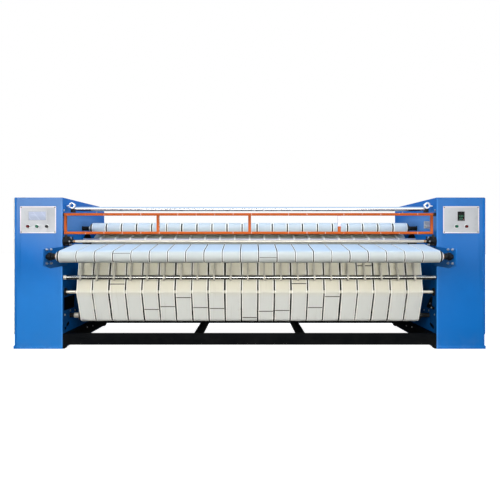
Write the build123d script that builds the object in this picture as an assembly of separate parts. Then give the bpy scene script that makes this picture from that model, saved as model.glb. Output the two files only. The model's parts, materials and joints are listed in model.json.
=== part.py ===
from build123d import *
import os
from math import asin, atan2, cos, hypot, pi, radians, sin

# A flatwork ironer: an endless set of felt belts presses linen against a heated steel cylinder.
# Millimetres. X runs along the cylinder, +Y from the feeding side to the back, +Z up. The origin is
# the middle of the floor area. Depths are measured backwards from the cabinets' front face.

# ---- driving dimensions ---------------------------------------------------------------------------------
WORK_WIDTH = 3000.0                # ironing width
BELT_COUNT = 21
BELT_PITCH = WORK_WIDTH / BELT_COUNT
HEIGHT = 1292.0
CABINET_DEPTH = 1300.0
FEED_REACH = 435.0                 # feed brackets in front of the cabinets
FRONT = (FEED_REACH - CABINET_DEPTH) / 2
WALL = 1596.0                      # inner face of each side wall, from the middle
WALL_THICK = 12.0
WALL_BACK = WALL + WALL_THICK
SHELL = 2005.0                     # outer face of each cabinet shell
OUTER = 2015.0                     # outer face of each service cover and plinth
SHEET = 3.0                        # folded cabinet sheet
PLINTH_HEIGHT = 27.0
SIDES = (-1, 1)

# every axis below is (depth, height)
CYLINDER_AXIS = (848.0, 608.0)
CYLINDER_RADIUS = 400.0
CYLINDER_HALF = 1520.0
CYLINDER_SKIN = 14.0
CYLINDER_HEAD = 30.0
NECK_RADIUS = 60.0                 # cylinder journals
NECK_ENDS = (-1700.0, 1722.0)
STEAM_BORE = 25.0
ROLL_RADIUS = 44.5
ROLL_HALF = 1512.0
ROLL_SKIN = 5.0
JOURNAL = 17.0
PIVOT = 10.0                       # journals of the thin tubes
TUBE_SKIN = 2.0
RUNNING = 0.05                     # radial clearance of a journal in its bearing
CLEAR = 1.5                        # drawn gap between a belt and what it runs on
FELT = 6.0
FEED_CANVAS = 3.0
TAPE = 2.0
IRONING_BELT_WIDTH = BELT_PITCH - 12.0
FEED_BELT_WIDTH = BELT_PITCH - 7.0
TAPE_WIDTH = 14.0
TAPE_SHIFT = 17.0                  # each tape runs left of its belt's middle

RETURN_AXIS = (178.0, 800.0)
FRONT_BOTTOM_AXIS = (199.0, 262.0)
REAR_BOTTOM_AXIS = (1220.0, 190.0)
REAR_TOP_AXIS = (1220.0, 1050.0)
TOP_AXIS = (545.0, 1044.0)
BEND_AXIS = (62.0, 481.0)
BEND_RADIUS, BEND_HALF = 14.0, 1580.0
NIP_ANGLE = radians(155)           # where the nip roll presses the cylinder
NIP_DISTANCE = CYLINDER_RADIUS + CLEAR + FELT + CLEAR + ROLL_RADIUS + 0.5
NIP_AXIS = (CYLINDER_AXIS[0] + NIP_DISTANCE * cos(NIP_ANGLE),
            CYLINDER_AXIS[1] + NIP_DISTANCE * sin(NIP_ANGLE))
FEED_AXIS = (-335.0, 796.0)
REAR_FEED_AXIS = (45.0, 848.0)
REAR_FEED_HALF = 1506.0
PRESS_AXIS = (35.0, 918.0)
PRESS_RADIUS, PRESS_HALF = 13.0, 1496.0
TAPE_TUBE_AXIS = (18.0, 609.0)
TAPE_TUBE_RADIUS = 19.0
TAPE_SAG = (14.5, 601.5)            # the tapes hang slack below their tube
TAPE_BAR_AXIS = (90.0, 788.0)
TAPE_BAR_RADIUS, TAPE_BAR_HALF = 15.0, 1520.0
STRIPPER_AXIS = (570.0, 938.0)
STRIPPER_RADIUS = 12.0
RAIL_AXIS = (140.0, 1202.0)
RAIL_RADIUS = 19.0
RAIL_END = 1533.0

BEAM_LOW, BEAM_HIGH = 34.0, 128.0
BEAM_SKIN = 5.0
CROSS_BEAM_DEPTHS = ((5.0, 55.0), (1250.0, 1300.0))
SIDE_BEAM_WIDTH = 50.0
MID_BEAM = (440.0, 478.0)
PLATE_CENTRE = (1804.0, 1102.0)    # control plates: (distance from the middle, height)
PLATE_SIZE = (306.0, 229.0)
PLATE_THICK = 2.0
BUTTON_HEIGHT = 1045.0
BUTTONS = {"red_button_left": -1888.0, "green_button_left": -1811.0, "black_button_left": -1728.0,
           "green_button_right": 1763.0, "red_button_right": 1847.0}
BUTTON_RADIUS = 13.0
BUTTON_OUT, BUTTON_IN = 22.0, 22.0       # a cap's reach before and behind the cabinet's face
BEZEL_RADIUS = 17.5
SCREEN = ((-1890.0, -1733.0), (1094.0, 1177.0))
CONTROLLER = ((1774.0, 1833.0), (1092.0, 1172.0))
GUARD_DEPTH = (14.0, 36.0)
GUARD_LOW, GUARD_HIGH = 979.0, 1160.0
GUARD_BAR = 22.0
GUARD_POST = 20.0
GUARD_ENDS = {-1: 1588.0, 1: 1571.0}
GUARD_PIVOT = (25.0, 1149.0)
GUARD_PIN = 5.0
DIVIDERS = (-785.0, 0.0, 769.0)
DIVIDER_HALF = 12.0
LINK_PITCH = 25.4                  # roller chain
CYLINDER_TEETH, DRIVE_TEETH = 76, 19
DRIVE_AXIS = (360.0, 235.0)
CHAIN_MIDDLE = 1708.0              # the chain's plane, from the middle of the machine

# ---- helpers --------------------------------------------------------------------------------------------


def ordered(a, b):
    return (min(a, b), max(a, b))


def out(side, near, far):
    """The x pair between two distances from the middle, on one side."""
    return ordered(side * near, side * far)


def around(middle, half):
    return (middle - half, middle + half)


def block(x, depth, height):
    """A box from three (low, high) pairs."""
    low = (x[0], FRONT + depth[0], height[0])
    size = (x[1] - x[0], depth[1] - depth[0], height[1] - height[0])
    return Pos(*low) * Box(*size, align=(Align.MIN, Align.MIN, Align.MIN))


def hollow_block(x, depth, height, skin):
    """A rectangular tube along the box's longest side, open at both ends."""
    pairs = [x, depth, height]
    longest = max(range(3), key=lambda i: pairs[i][1] - pairs[i][0])
    inner = [p if i == longest else (p[0] + skin, p[1] - skin) for i, p in enumerate(pairs)]
    return block(*pairs) - block(*inner)


def rod(x, axis, radius):
    """A round bar along X between a pair of x values."""
    centre = Pos((x[0] + x[1]) / 2, FRONT + axis[0], axis[1])
    return centre * Rot(0, 90, 0) * Cylinder(radius, x[1] - x[0])


def rod_back(x, depth, height, radius):
    """A round bar along Y between a pair of depths."""
    centre = Pos(x, FRONT + (depth[0] + depth[1]) / 2, height)
    return centre * Rot(90, 0, 0) * Cylinder(radius, depth[1] - depth[0])


def rod_up(x, depth, height, radius):
    """A round bar along Z between a pair of heights."""
    return Pos(x, FRONT + depth, (height[0] + height[1]) / 2) * Cylinder(radius, height[1] - height[0])


def ring(x, axis, radius, hole):
    return rod(x, axis, radius) - rod(x, axis, hole)


def slab(points, x, corner=0.0):
    """A plate across X whose outline is a list of (depth, height) points."""
    face = make_face(Polyline(*[(FRONT + d, h) for d, h in points], close=True))
    if corner:
        face = fillet(face.vertices(), corner)
    return extrude(Plane.YZ.offset(x[0]) * face, x[1] - x[0], dir=(1, 0, 0))


def round_slot(x, start, end, radius):
    """A round-ended slot between two (depth, height) points."""
    length = hypot(end[0] - start[0], end[1] - start[1])
    across = (-(end[1] - start[1]) / length * radius, (end[0] - start[0]) / length * radius)
    corners = [(start[0] + across[0], start[1] + across[1]), (end[0] + across[0], end[1] + across[1]),
               (end[0] - across[0], end[1] - across[1]), (start[0] - across[0], start[1] - across[1])]
    return slab(corners, x) + rod(x, start, radius) + rod(x, end, radius)


def round_places(axis, radius, degrees):
    """Places on a circle round an axis, at angles in degrees."""
    turns = [radians(angle) for angle in degrees]
    return [(axis[0] + radius * cos(turn), axis[1] + radius * sin(turn)) for turn in turns]


def hexagon(x, place, across):
    """A hexagon head or nut whose axis runs along X."""
    radius = across / 2 / cos(radians(30))
    return slab(round_places(place, radius, range(0, 360, 60)), x)


def belt_middles():
    return [(i - (BELT_COUNT - 1) / 2) * BELT_PITCH for i in range(BELT_COUNT)]


def copies(piece, places):
    return [Pos(x, 0, 0) * piece for x in places]


def tangent(first, second):
    """The straight run between two circles (depth, height, signed radius), + turning left."""
    (d1, h1, r1), (d2, h2, r2) = first, second
    distance = hypot(d2 - d1, h2 - h1)
    heading = atan2(h2 - h1, d2 - d1) + asin((r1 - r2) / distance)
    left = (-sin(heading), cos(heading))
    return ((d1 - r1 * left[0], h1 - r1 * left[1]), (d2 - r2 * left[0], h2 - r2 * left[1]))


def loop_face(circles):
    """The area inside an endless band that runs round the circles in turn."""
    count = len(circles)
    runs = [tangent(circles[i], circles[(i + 1) % count]) for i in range(count)]
    edges = []
    for i in range(count):
        start, end = runs[i]
        depth, height, radius = circles[(i + 1) % count]
        leave = runs[(i + 1) % count][0]
        turn = 1 if radius > 0 else -1
        a0 = atan2(end[1] - height, end[0] - depth)
        a1 = atan2(leave[1] - height, leave[0] - depth)
        half = turn * (((a1 - a0) * turn) % (2 * pi)) / 2
        bend = (depth + abs(radius) * cos(a0 + half), height + abs(radius) * sin(a0 + half))
        edges.append(Line(start, end))
        edges.append(ThreePointArc(end, bend, leave))
    return make_face(edges)


def band(wheels, thick, x):
    """An endless belt. wheels: (axis, radius, inside); a wheel that isn't inside turns the belt back."""

    def circles(offset):
        grow = [(axis, CLEAR + radius + offset if inside else offset - CLEAR - radius - thick)
                for axis, radius, inside in wheels]
        return [(FRONT + axis[0], axis[1], signed) for axis, signed in grow]

    face = loop_face(circles(thick)) - loop_face(circles(0.0))
    return extrude(Plane.YZ.offset(x[0]) * face, x[1] - x[0], dir=(1, 0, 0))


def roll(axis, radius, half, steps, skin=0.0):
    """A roll with the same journals at both ends. steps: (radius, where it ends)."""
    body = rod((-half, half), axis, radius)
    if skin:
        body -= rod((-half + 2 * skin, half - 2 * skin), axis, radius - skin)
    for side in SIDES:
        near = half
        for step, far in steps:
            body += rod(out(side, near, far), axis, step)
            near = far
    return body


def sprocket(axis, teeth, thick, hub, hub_half, bore):
    """A chain wheel with plain pointed teeth in the chain's plane."""
    pitch = LINK_PITCH / 2 / sin(pi / teeth)
    root, tip = pitch - 8, pitch + 6
    points = []
    for tooth in range(teeth):
        for share, radius in ((-0.30, root), (-0.10, tip), (0.10, tip), (0.30, root)):
            points += round_places(axis, radius, [360 * (tooth + share) / teeth])
    hub_x = around(CHAIN_MIDDLE, hub_half)
    wheel = slab(points, around(CHAIN_MIDDLE, thick / 2)) + rod(hub_x, axis, hub)
    return wheel - rod(hub_x, axis, bore) if bore else wheel


nodes = {}


def keep(name, *solids):
    nodes[name] = solids[0] if len(solids) == 1 else Compound(children=list(solids))


# ---- cabinets -------------------------------------------------------------------------------------------
SHAFT_HOLES = [(REAR_FEED_AXIS, JOURNAL), (RETURN_AXIS, JOURNAL), (NIP_AXIS, JOURNAL),
               (FRONT_BOTTOM_AXIS, JOURNAL), (REAR_BOTTOM_AXIS, JOURNAL), (REAR_TOP_AXIS, JOURNAL),
               (TOP_AXIS, JOURNAL), (BEND_AXIS, PIVOT), (PRESS_AXIS, PIVOT), (TAPE_TUBE_AXIS, PIVOT),
               (TAPE_BAR_AXIS, PIVOT), (CYLINDER_AXIS, NECK_RADIUS)]
HOLE_ROOM = 6.0                    # a wall hole is this much wider than its shaft, all round
EDGE_BREAK = 4.0                   # chamfer on the walls' front edges
WALL_WINDOW = ((40.0, 305.0), (321.0, 434.0))      # in the left wall alone: depths, heights
# belt tension slots by side: start, end and radius
TENSION_SLOTS = {-1: [((112.0, 187.0), (157.0, 199.0), 14.0), ((66.0, 163.0), (88.0, 167.0), 12.0)],
                 1: [((83.0, 172.0), (152.0, 190.0), 15.0)]}
RIM = 40.0                         # frame of the service opening
REAR_INSET = 25.0                  # rear panel behind the cabinet's rim
SEAM_INSET, SEAM_HALF, SEAM_DEPTH = 19.0, 1.0, 1.2
PLATE_OPENING = (135.0, 96.0)      # half sizes of the hole behind a control plate
ANCHOR_RADIUS = 9.0
PLINTH_WEB = 50.0
PIPE_HEIGHT = CYLINDER_AXIS[1]
PIPE_X = -1762.0
DRAIN_HEIGHT = 170.0
PIPE_RADIUS, PIPE_BORE = 26.0, 20.0
GLAND = (-1900.0, 230.0)           # cable entry: x, height
GLAND_BORE, GLAND_RADIUS, GLAND_NUT = 12.5, 18.5, 22.0
COVER_INSET, COVER_DROP, COVER_LOW = 8.0, 4.0, 125.0     # the cover's edges inside the shell's, its foot
COVER_EDGE, COVER_SKIN = 6.0, 1.5
LOUVRE_DEPTHS, LOUVRE_TOPS = (450.0, 850.0), (260.0, 1150.0)
LOUVRE_COUNT, LOUVRE_STEP, LOUVRE_HALF = 8, 12.0, 2.5
LOCK_INSET, LOCK_RADIUS, LOCK_REACH = 60.0, 6.0, 20.0


def side_wall(side):
    x = out(side, WALL, WALL_BACK)
    wall = block(x, (0, CABINET_DEPTH), (0, HEIGHT))
    front_edges = wall.edges().filter_by(Axis.Z).group_by(Axis.Y)[0]
    wall = chamfer(front_edges.sort_by(Axis.X)[-1 if side < 0 else 0], EDGE_BREAK)
    for axis, radius in SHAFT_HOLES:
        wall -= rod(x, axis, radius + HOLE_ROOM)
    if side < 0:
        wall -= block(x, *WALL_WINDOW)
    for start, end, radius in TENSION_SLOTS[side]:
        wall -= round_slot(x, start, end, radius)
    return wall


def plinth(side):
    x = out(side, WALL_BACK, OUTER)
    height = (0, PLINTH_HEIGHT)
    inner = out(side, WALL_BACK + PLINTH_WEB, OUTER - PLINTH_WEB)
    frame = block(x, (0, CABINET_DEPTH), height)
    frame -= block(inner, (PLINTH_WEB, CABINET_DEPTH - PLINTH_WEB), height)
    for near in (WALL_BACK + PLINTH_WEB / 2, OUTER - PLINTH_WEB / 2):
        for depth in (PLINTH_WEB / 2, CABINET_DEPTH - PLINTH_WEB / 2):
            frame -= rod_up(side * near, depth, height, ANCHOR_RADIUS)
    return frame


def cabinet_shell(side):
    x = out(side, WALL_BACK, SHELL)
    height = (PLINTH_HEIGHT, HEIGHT)
    inner_height = (PLINTH_HEIGHT, HEIGHT - SHEET)
    inside = out(side, WALL_BACK, SHELL - SHEET)
    rear = (CABINET_DEPTH - REAR_INSET - SHEET, CABINET_DEPTH - REAR_INSET)
    shell = block(x, (0, CABINET_DEPTH), height)
    shell -= block(inside, (SHEET, rear[0]), inner_height)
    shell -= block(inside, (rear[1], CABINET_DEPTH), inner_height)
    shell -= block(out(side, SHELL - SHEET, SHELL), (RIM, CABINET_DEPTH - RIM),
                   (COVER_LOW + RIM, HEIGHT - RIM))
    shell -= block(around(side * (SHELL - SEAM_INSET), SEAM_HALF), (0, SEAM_DEPTH), height)
    middle, level = PLATE_CENTRE
    shell -= block(around(side * middle, PLATE_OPENING[0]), (0, SHEET), around(level, PLATE_OPENING[1]))
    if side < 0:
        for x_hole, z_hole, radius in ((PIPE_X, PIPE_HEIGHT, PIPE_RADIUS + 1),
                                       (PIPE_X, DRAIN_HEIGHT, PIPE_RADIUS + 1), (*GLAND, GLAND_RADIUS)):
            shell -= rod_back(x_hole, rear, z_hole, radius)
    return shell


def service_cover(side):
    depth = (COVER_INSET, CABINET_DEPTH - COVER_INSET)
    height = (COVER_LOW, HEIGHT - COVER_DROP)
    cover = block(out(side, SHELL, OUTER), depth, height)
    cover -= block(out(side, SHELL, OUTER - COVER_SKIN), (depth[0] + COVER_EDGE, depth[1] - COVER_EDGE),
                   (height[0] + COVER_EDGE, height[1] - COVER_EDGE))
    for top in LOUVRE_TOPS:
        for row in range(LOUVRE_COUNT):
            cover -= block(out(side, OUTER - COVER_SKIN, OUTER), LOUVRE_DEPTHS,
                           around(top - row * LOUVRE_STEP, LOUVRE_HALF))
    return cover


def cover_locks(side):
    """Quarter-turn catches, one near each corner of a service cover."""
    places = [(d, h) for d in (LOCK_INSET, CABINET_DEPTH - LOCK_INSET)
              for h in (COVER_LOW + LOCK_INSET, HEIGHT - LOCK_INSET)]
    return [rod(out(side, SHELL - LOCK_REACH, OUTER - COVER_SKIN), place, LOCK_RADIUS) for place in places]


keep("side_walls", *[side_wall(side) for side in SIDES])
keep("cabinet_shells", *[cabinet_shell(side) for side in SIDES])
keep("service_cover_left", service_cover(-1))
keep("service_cover_right", service_cover(1))
keep("plinths", *[plinth(side) for side in SIDES])
keep("cover_locks", *[lock for side in SIDES for lock in cover_locks(side)])

# ---- floor frame ----------------------------------------------------------------------------------------
WALL_TO_WALL = (-WALL, WALL)
BEAM_HEIGHTS = (BEAM_LOW, BEAM_HIGH)
FOOT_WIDTH, FOOT_BREAK = 24.0, 10.0


def floor_beams(side):
    """A beam along the wall and a slim one nearer the middle."""
    depth = (CROSS_BEAM_DEPTHS[0][1], CROSS_BEAM_DEPTHS[1][0])
    spans = (out(side, WALL - SIDE_BEAM_WIDTH, WALL), out(side, *MID_BEAM))
    return [hollow_block(x, depth, BEAM_HEIGHTS, BEAM_SKIN) for x in spans]


def foot(side, depths):
    pad = block(out(side, WALL - FOOT_WIDTH, WALL), depths, (0, BEAM_LOW))
    low_edges = pad.edges().filter_by(Axis.Y).sort_by(Axis.Z)[:2]
    return chamfer(low_edges.sort_by(Axis.X)[-1 if side < 0 else 0], FOOT_BREAK)


keep("cross_beams", *[hollow_block(WALL_TO_WALL, depths, BEAM_HEIGHTS, BEAM_SKIN)
                      for depths in CROSS_BEAM_DEPTHS])
keep("floor_beams", *[beam for side in SIDES for beam in floor_beams(side)])
keep("feet", *[foot(side, depths) for side in SIDES for depths in CROSS_BEAM_DEPTHS])

# ---- feeding table --------------------------------------------------------------------------------------
BRACKET_X = (WALL - 5, WALL)
BRACKET = [(110, 874), (0, 872), (-435, 856), (-435, 729), (-292, 701), (110, 709)]
BRACKET_CORNER = 10.0
BOSS_RADIUS = 26.0
BOSS_ENDS = (WALL - 52, WALL + 20)
FLANGE_HALF = (58.0, 59.0)         # outer flange: half depth, half height
FLANGE_THICK, FLANGE_CORNER = 12.0, 16.0
HUB_RADIUS, HUB_END = 38.0, WALL + 18
COLLAR_RADIUS, COLLAR_ENDS = 32.0, (WALL - 30, WALL - 14)
TAKE_UP = (FEED_AXIS[0] - 41, FEED_AXIS[1])        # tension screw's head, in front of the bearing
TAKE_UP_RADIUS, TAKE_UP_END = 18.0, WALL - 36
NUT_GRID = (45.0, 54.0)            # half spacings of the bearing bolts: depth, height
NUT_ACROSS, NUT_THICK = 18.0, 8.0
STUD_RADIUS, STUD_REACH = 6.0, 7.0


def feed_bracket(side):
    x = out(side, *BRACKET_X)
    plate = slab(BRACKET, x, corner=BRACKET_CORNER)
    plate -= rod(x, FEED_AXIS, BOSS_RADIUS + 2)
    plate -= rod(x, REAR_FEED_AXIS, JOURNAL + HOLE_ROOM)
    return plate - rod(x, TAPE_BAR_AXIS, PIVOT + HOLE_ROOM)


def feed_bearing(side):
    """A square four-bolt flange unit outside the bracket, with its boss and tension screw inside."""
    flange = block(out(side, WALL, WALL + FLANGE_THICK), around(FEED_AXIS[0], FLANGE_HALF[0]),
                   around(FEED_AXIS[1], FLANGE_HALF[1]))
    flange = fillet(flange.edges().filter_by(Axis.X), FLANGE_CORNER)
    unit = flange + rod(out(side, *BOSS_ENDS), FEED_AXIS, BOSS_RADIUS)
    unit += rod(out(side, *COLLAR_ENDS), FEED_AXIS, COLLAR_RADIUS)
    unit += rod(out(side, WALL + FLANGE_THICK, HUB_END), FEED_AXIS, HUB_RADIUS)
    unit += rod(out(side, TAKE_UP_END, BRACKET_X[0]), TAKE_UP, TAKE_UP_RADIUS)
    return unit - rod(out(side, *BOSS_ENDS), FEED_AXIS, JOURNAL + RUNNING)


def bracket_nuts(side):
    """Nuts on their studs at the corners of a bearing's bolt grid."""
    nuts = []
    face = BRACKET_X[0]
    for d in around(FEED_AXIS[0], NUT_GRID[0]):
        for h in around(FEED_AXIS[1], NUT_GRID[1]):
            nut = hexagon(out(side, face - NUT_THICK, face), (d, h), NUT_ACROSS)
            stud = rod(out(side, face - NUT_THICK - STUD_REACH, face - NUT_THICK), (d, h), STUD_RADIUS)
            nuts.append(nut + stud)
    return nuts


keep("feed_brackets", *[feed_bracket(side) for side in SIDES])
keep("feed_bearings", *[feed_bearing(side) for side in SIDES])
feed_band = band([(FEED_AXIS, ROLL_RADIUS, True), (REAR_FEED_AXIS, ROLL_RADIUS, True)], FEED_CANVAS,
                 around(0, FEED_BELT_WIDTH / 2))
keep("feed_belts", *copies(feed_band, belt_middles()))
BEARING_END = WALL_BACK + 34
keep("feed_roll", roll(FEED_AXIS, ROLL_RADIUS, ROLL_HALF, [(40, 1521), (24, 1540), (JOURNAL, BOSS_ENDS[1])],
                       ROLL_SKIN))
keep("rear_feed_roll", roll(REAR_FEED_AXIS, ROLL_RADIUS, REAR_FEED_HALF, [(24, 1520), (JOURNAL, BEARING_END)],
                            ROLL_SKIN))

# ---- press tube and finger guard ------------------------------------------------------------------------
COLLAR_END = 1510.0                # warm collar on each end of the press tube
PRESS_COLLAR = 1.5                 # thickness of those collars
HOLDER = ((1578.0, WALL, 40.0), (1546.0, 1578.0, 28.0), (1516.0, 1546.0, 18.0))    # from, to, radius
EAR_DEGREES, EAR_CIRCLE, EAR_RADIUS = (30, 90, 180, 240, 300), 33.0, 10.0
EAR_X = (1542.0, 1590.0)
HOLDER_POST = ((1566.0, 1582.0), (16.0, 34.0))
HOLDER_STUD, STUD_TOP = (1521.0, 5.0), 960.0       # grease stud: from the middle, radius
HINGE_HALF = 14.0


def press_holder(side):
    """A round black bearing unit on the wall, with five bolt ears and a post that the guard rests above."""
    unit = block(out(side, *HOLDER_POST[0]), HOLDER_POST[1], (PRESS_AXIS[1], GUARD_LOW - 3))
    for near, far, radius in HOLDER:
        unit += rod(out(side, near, far), PRESS_AXIS, radius)
    for place in round_places(PRESS_AXIS, EAR_CIRCLE, EAR_DEGREES):
        unit += rod(out(side, *EAR_X), place, EAR_RADIUS)
    across, radius = HOLDER_STUD
    unit += rod_up(side * across, PRESS_AXIS[0], (PRESS_AXIS[1], STUD_TOP), radius)
    return unit - rod(out(side, HOLDER[-1][0], WALL), PRESS_AXIS, PIVOT + RUNNING)


def guard():
    """A welded frame of square tube with four windows."""
    x = (-GUARD_ENDS[-1], GUARD_ENDS[1])
    height = (GUARD_LOW, GUARD_HIGH)
    frame = block(x, GUARD_DEPTH, (GUARD_LOW, GUARD_LOW + GUARD_BAR))
    frame += block(x, GUARD_DEPTH, (GUARD_HIGH - GUARD_BAR, GUARD_HIGH))
    for side, end in GUARD_ENDS.items():
        frame += block(out(side, end - GUARD_POST, end), GUARD_DEPTH, height)
        frame += rod(out(side, end, WALL - 1), GUARD_PIVOT, GUARD_PIN)
    for middle in DIVIDERS:
        frame += block(around(middle, DIVIDER_HALF), GUARD_DEPTH, height)
    return frame


def guard_hinge(side):
    x = out(side, GUARD_ENDS[side] + 2, WALL)
    lug = block(x, around(GUARD_PIVOT[0], HINGE_HALF), around(GUARD_PIVOT[1], HINGE_HALF))
    return lug - rod(x, GUARD_PIVOT, GUARD_PIN + RUNNING)


keep("press_tube", roll(PRESS_AXIS, PRESS_RADIUS, PRESS_HALF,
                        [(PRESS_RADIUS + PRESS_COLLAR, COLLAR_END), (PIVOT, BEARING_END)], TUBE_SKIN))
keep("press_holders", *[press_holder(side) for side in SIDES])
keep("finger_guard", guard())
keep("guard_hinges", *[guard_hinge(side) for side in SIDES])

# ---- top rail -------------------------------------------------------------------------------------------
LOOP_CENTRE = (46.5, RAIL_AXIS[1] + 28.5)      # a loop's middle: from the wall, height
LOOP_CORNER = 34.0                 # from the middle to a corner of the square before it is rounded
LOOP_TILT = 10                     # degrees off a square that stands on its corner
LOOP_ROUND, LOOP_STRAP = 10.5, 8.5
LOOP_DEPTHS = (94.0, 120.0)
LOOP_TAB = (26.0, (RAIL_AXIS[1] + 19, RAIL_AXIS[1] + 30))      # reach from the wall, heights
CLAMP_WIDTH, CLAMP_DEPTHS = 36.0, (122.0, 158.0)
CLAMP_HEIGHTS = (1172.0, RAIL_AXIS[1] + 1)


def rail_loop(side):
    """A strap bent into a square with round corners, tilted, on a tab that is welded to the wall."""
    corners = round_places(LOOP_CENTRE, LOOP_CORNER, range(LOOP_TILT, 360, 90))
    outer = make_face(Polyline(*[(side * (WALL - across), height) for across, height in corners], close=True))
    face = fillet(outer.vertices(), LOOP_ROUND)
    face -= offset(face, -LOOP_STRAP)
    near, far = LOOP_DEPTHS
    loop = extrude(Plane.XZ.offset(-FRONT - near) * face, far - near, dir=(0, 1, 0))
    return loop + block(out(side, WALL - LOOP_TAB[0], WALL), LOOP_DEPTHS, LOOP_TAB[1])


rail_tube = rod((-RAIL_END, RAIL_END), RAIL_AXIS, RAIL_RADIUS)
keep("top_rail", rail_tube - rod((-RAIL_END, RAIL_END), RAIL_AXIS, RAIL_RADIUS - TUBE_SKIN))
keep("rail_loops", *[rail_loop(side) for side in SIDES])
keep("rail_blocks", *[block(out(side, RAIL_END, RAIL_END + CLAMP_WIDTH), CLAMP_DEPTHS, CLAMP_HEIGHTS)
                      for side in SIDES])

# ---- heated cylinder, its belts and rolls ---------------------------------------------------------------
HUB, HUB_HALF = 90.0, 13.0
SPROCKET_THICK = 6.0
STUB = [(22, 1530), (JOURNAL, BEARING_END)]
FLANGE_RADIUS, UNIT_RADIUS, BUSH_RADIUS = 40.0, 30.0, 14.5
# from, to, radius
CYLINDER_UNIT = ((WALL_BACK, WALL_BACK + 20, 120.0), (WALL_BACK + 20, WALL_BACK + 76, 92.0))
BEND_CAP_RADIUS, BEND_CAP_THICK = 35.0, 12.0


def heated_cylinder():
    body = rod((-CYLINDER_HALF, CYLINDER_HALF), CYLINDER_AXIS, CYLINDER_RADIUS)
    body -= rod((CYLINDER_HEAD - CYLINDER_HALF, CYLINDER_HALF - CYLINDER_HEAD), CYLINDER_AXIS,
                CYLINDER_RADIUS - CYLINDER_SKIN)
    body += rod((NECK_ENDS[0], -CYLINDER_HALF), CYLINDER_AXIS, NECK_RADIUS)
    body += rod((CYLINDER_HALF, NECK_ENDS[1]), CYLINDER_AXIS, NECK_RADIUS)
    return body - rod(NECK_ENDS, CYLINDER_AXIS, STEAM_BORE)


def roll_bearing(side, axis):
    """A round flange unit on the cabinet side of the wall."""
    flange_end = WALL_BACK + FLANGE_THICK
    unit = rod(out(side, WALL_BACK, flange_end), axis, FLANGE_RADIUS)
    unit += rod(out(side, flange_end, BEARING_END), axis, UNIT_RADIUS)
    return unit - rod(out(side, WALL_BACK, BEARING_END), axis, JOURNAL + RUNNING)


def tube_bush(side, axis):
    """A plain bush for a thin tube, on the cabinet side of the wall."""
    return ring(out(side, WALL_BACK, BEARING_END), axis, BUSH_RADIUS, PIVOT + RUNNING)


def cylinder_bearing(side):
    (start, middle, wide), (_, end, narrow) = CYLINDER_UNIT
    unit = rod(out(side, start, middle), CYLINDER_AXIS, wide)
    unit += rod(out(side, middle, end), CYLINDER_AXIS, narrow)
    return unit - rod(out(side, start, end), CYLINDER_AXIS, NECK_RADIUS + RUNNING)


keep("heated_cylinder", heated_cylinder())
keep("cylinder_sprocket", sprocket(CYLINDER_AXIS, CYLINDER_TEETH, SPROCKET_THICK, HUB, HUB_HALF, NECK_RADIUS))
FELT_ROLLS = {"return_roll": RETURN_AXIS, "nip_roll": NIP_AXIS, "top_roll": TOP_AXIS,
              "rear_top_roll": REAR_TOP_AXIS, "rear_bottom_roll": REAR_BOTTOM_AXIS,
              "front_bottom_roll": FRONT_BOTTOM_AXIS}
for name, axis in FELT_ROLLS.items():
    keep(name, roll(axis, ROLL_RADIUS, ROLL_HALF, STUB, ROLL_SKIN))
keep("bend_tube", roll(BEND_AXIS, BEND_RADIUS, BEND_HALF, [(PIVOT, BEARING_END)], TUBE_SKIN))

ironing_band = band([(RETURN_AXIS, ROLL_RADIUS, True), (BEND_AXIS, BEND_RADIUS, True),
                     (FRONT_BOTTOM_AXIS, ROLL_RADIUS, True), (REAR_BOTTOM_AXIS, ROLL_RADIUS, True),
                     (REAR_TOP_AXIS, ROLL_RADIUS, True), (TOP_AXIS, ROLL_RADIUS, True),
                     (CYLINDER_AXIS, CYLINDER_RADIUS, False), (NIP_AXIS, ROLL_RADIUS, True)], FELT,
                    around(0, IRONING_BELT_WIDTH / 2))
keep("ironing_belts", *copies(ironing_band, belt_middles()))

bearings = []
for side in SIDES:
    bearings += [roll_bearing(side, axis) for axis in (REAR_FEED_AXIS, *FELT_ROLLS.values())]
    bearings += [tube_bush(side, axis) for axis in (BEND_AXIS, PRESS_AXIS, TAPE_TUBE_AXIS, TAPE_BAR_AXIS)]
    bearings.append(cylinder_bearing(side))
    bearings.append(ring(out(side, WALL - BEND_CAP_THICK, WALL), BEND_AXIS, BEND_CAP_RADIUS, PIVOT + 1))
keep("shaft_bearings", *bearings)

# ---- stripper fingers and transfer tapes ----------------------------------------------------------------
FINGER_WIDTH = 16.0
FINGER_TIP = (686.0, 2.5)          # (depth of the tip, its distance from the cylinder)
FINGER_CLAMP = 7.0                 # clamp wall round the shaft
FINGER_UNDER, FINGER_OVER = 14.0, 19.0


def stripper_finger():
    """A tapered finger clamped on the shaft, its point just over the cylinder."""
    tip_depth, off = FINGER_TIP
    reach = CYLINDER_RADIUS + off
    tip_height = CYLINDER_AXIS[1] + (reach ** 2 - (CYLINDER_AXIS[0] - tip_depth) ** 2) ** 0.5
    depth, height = STRIPPER_AXIS
    x = around(0, FINGER_WIDTH / 2)
    blade = slab([(depth, height - FINGER_UNDER), (tip_depth, tip_height), (tip_depth - 6, tip_height + 5),
                  (depth, height + FINGER_OVER)], x)
    body = blade + rod(x, STRIPPER_AXIS, STRIPPER_RADIUS + FINGER_CLAMP)
    return body - rod(x, STRIPPER_AXIS, STRIPPER_RADIUS)


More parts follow.
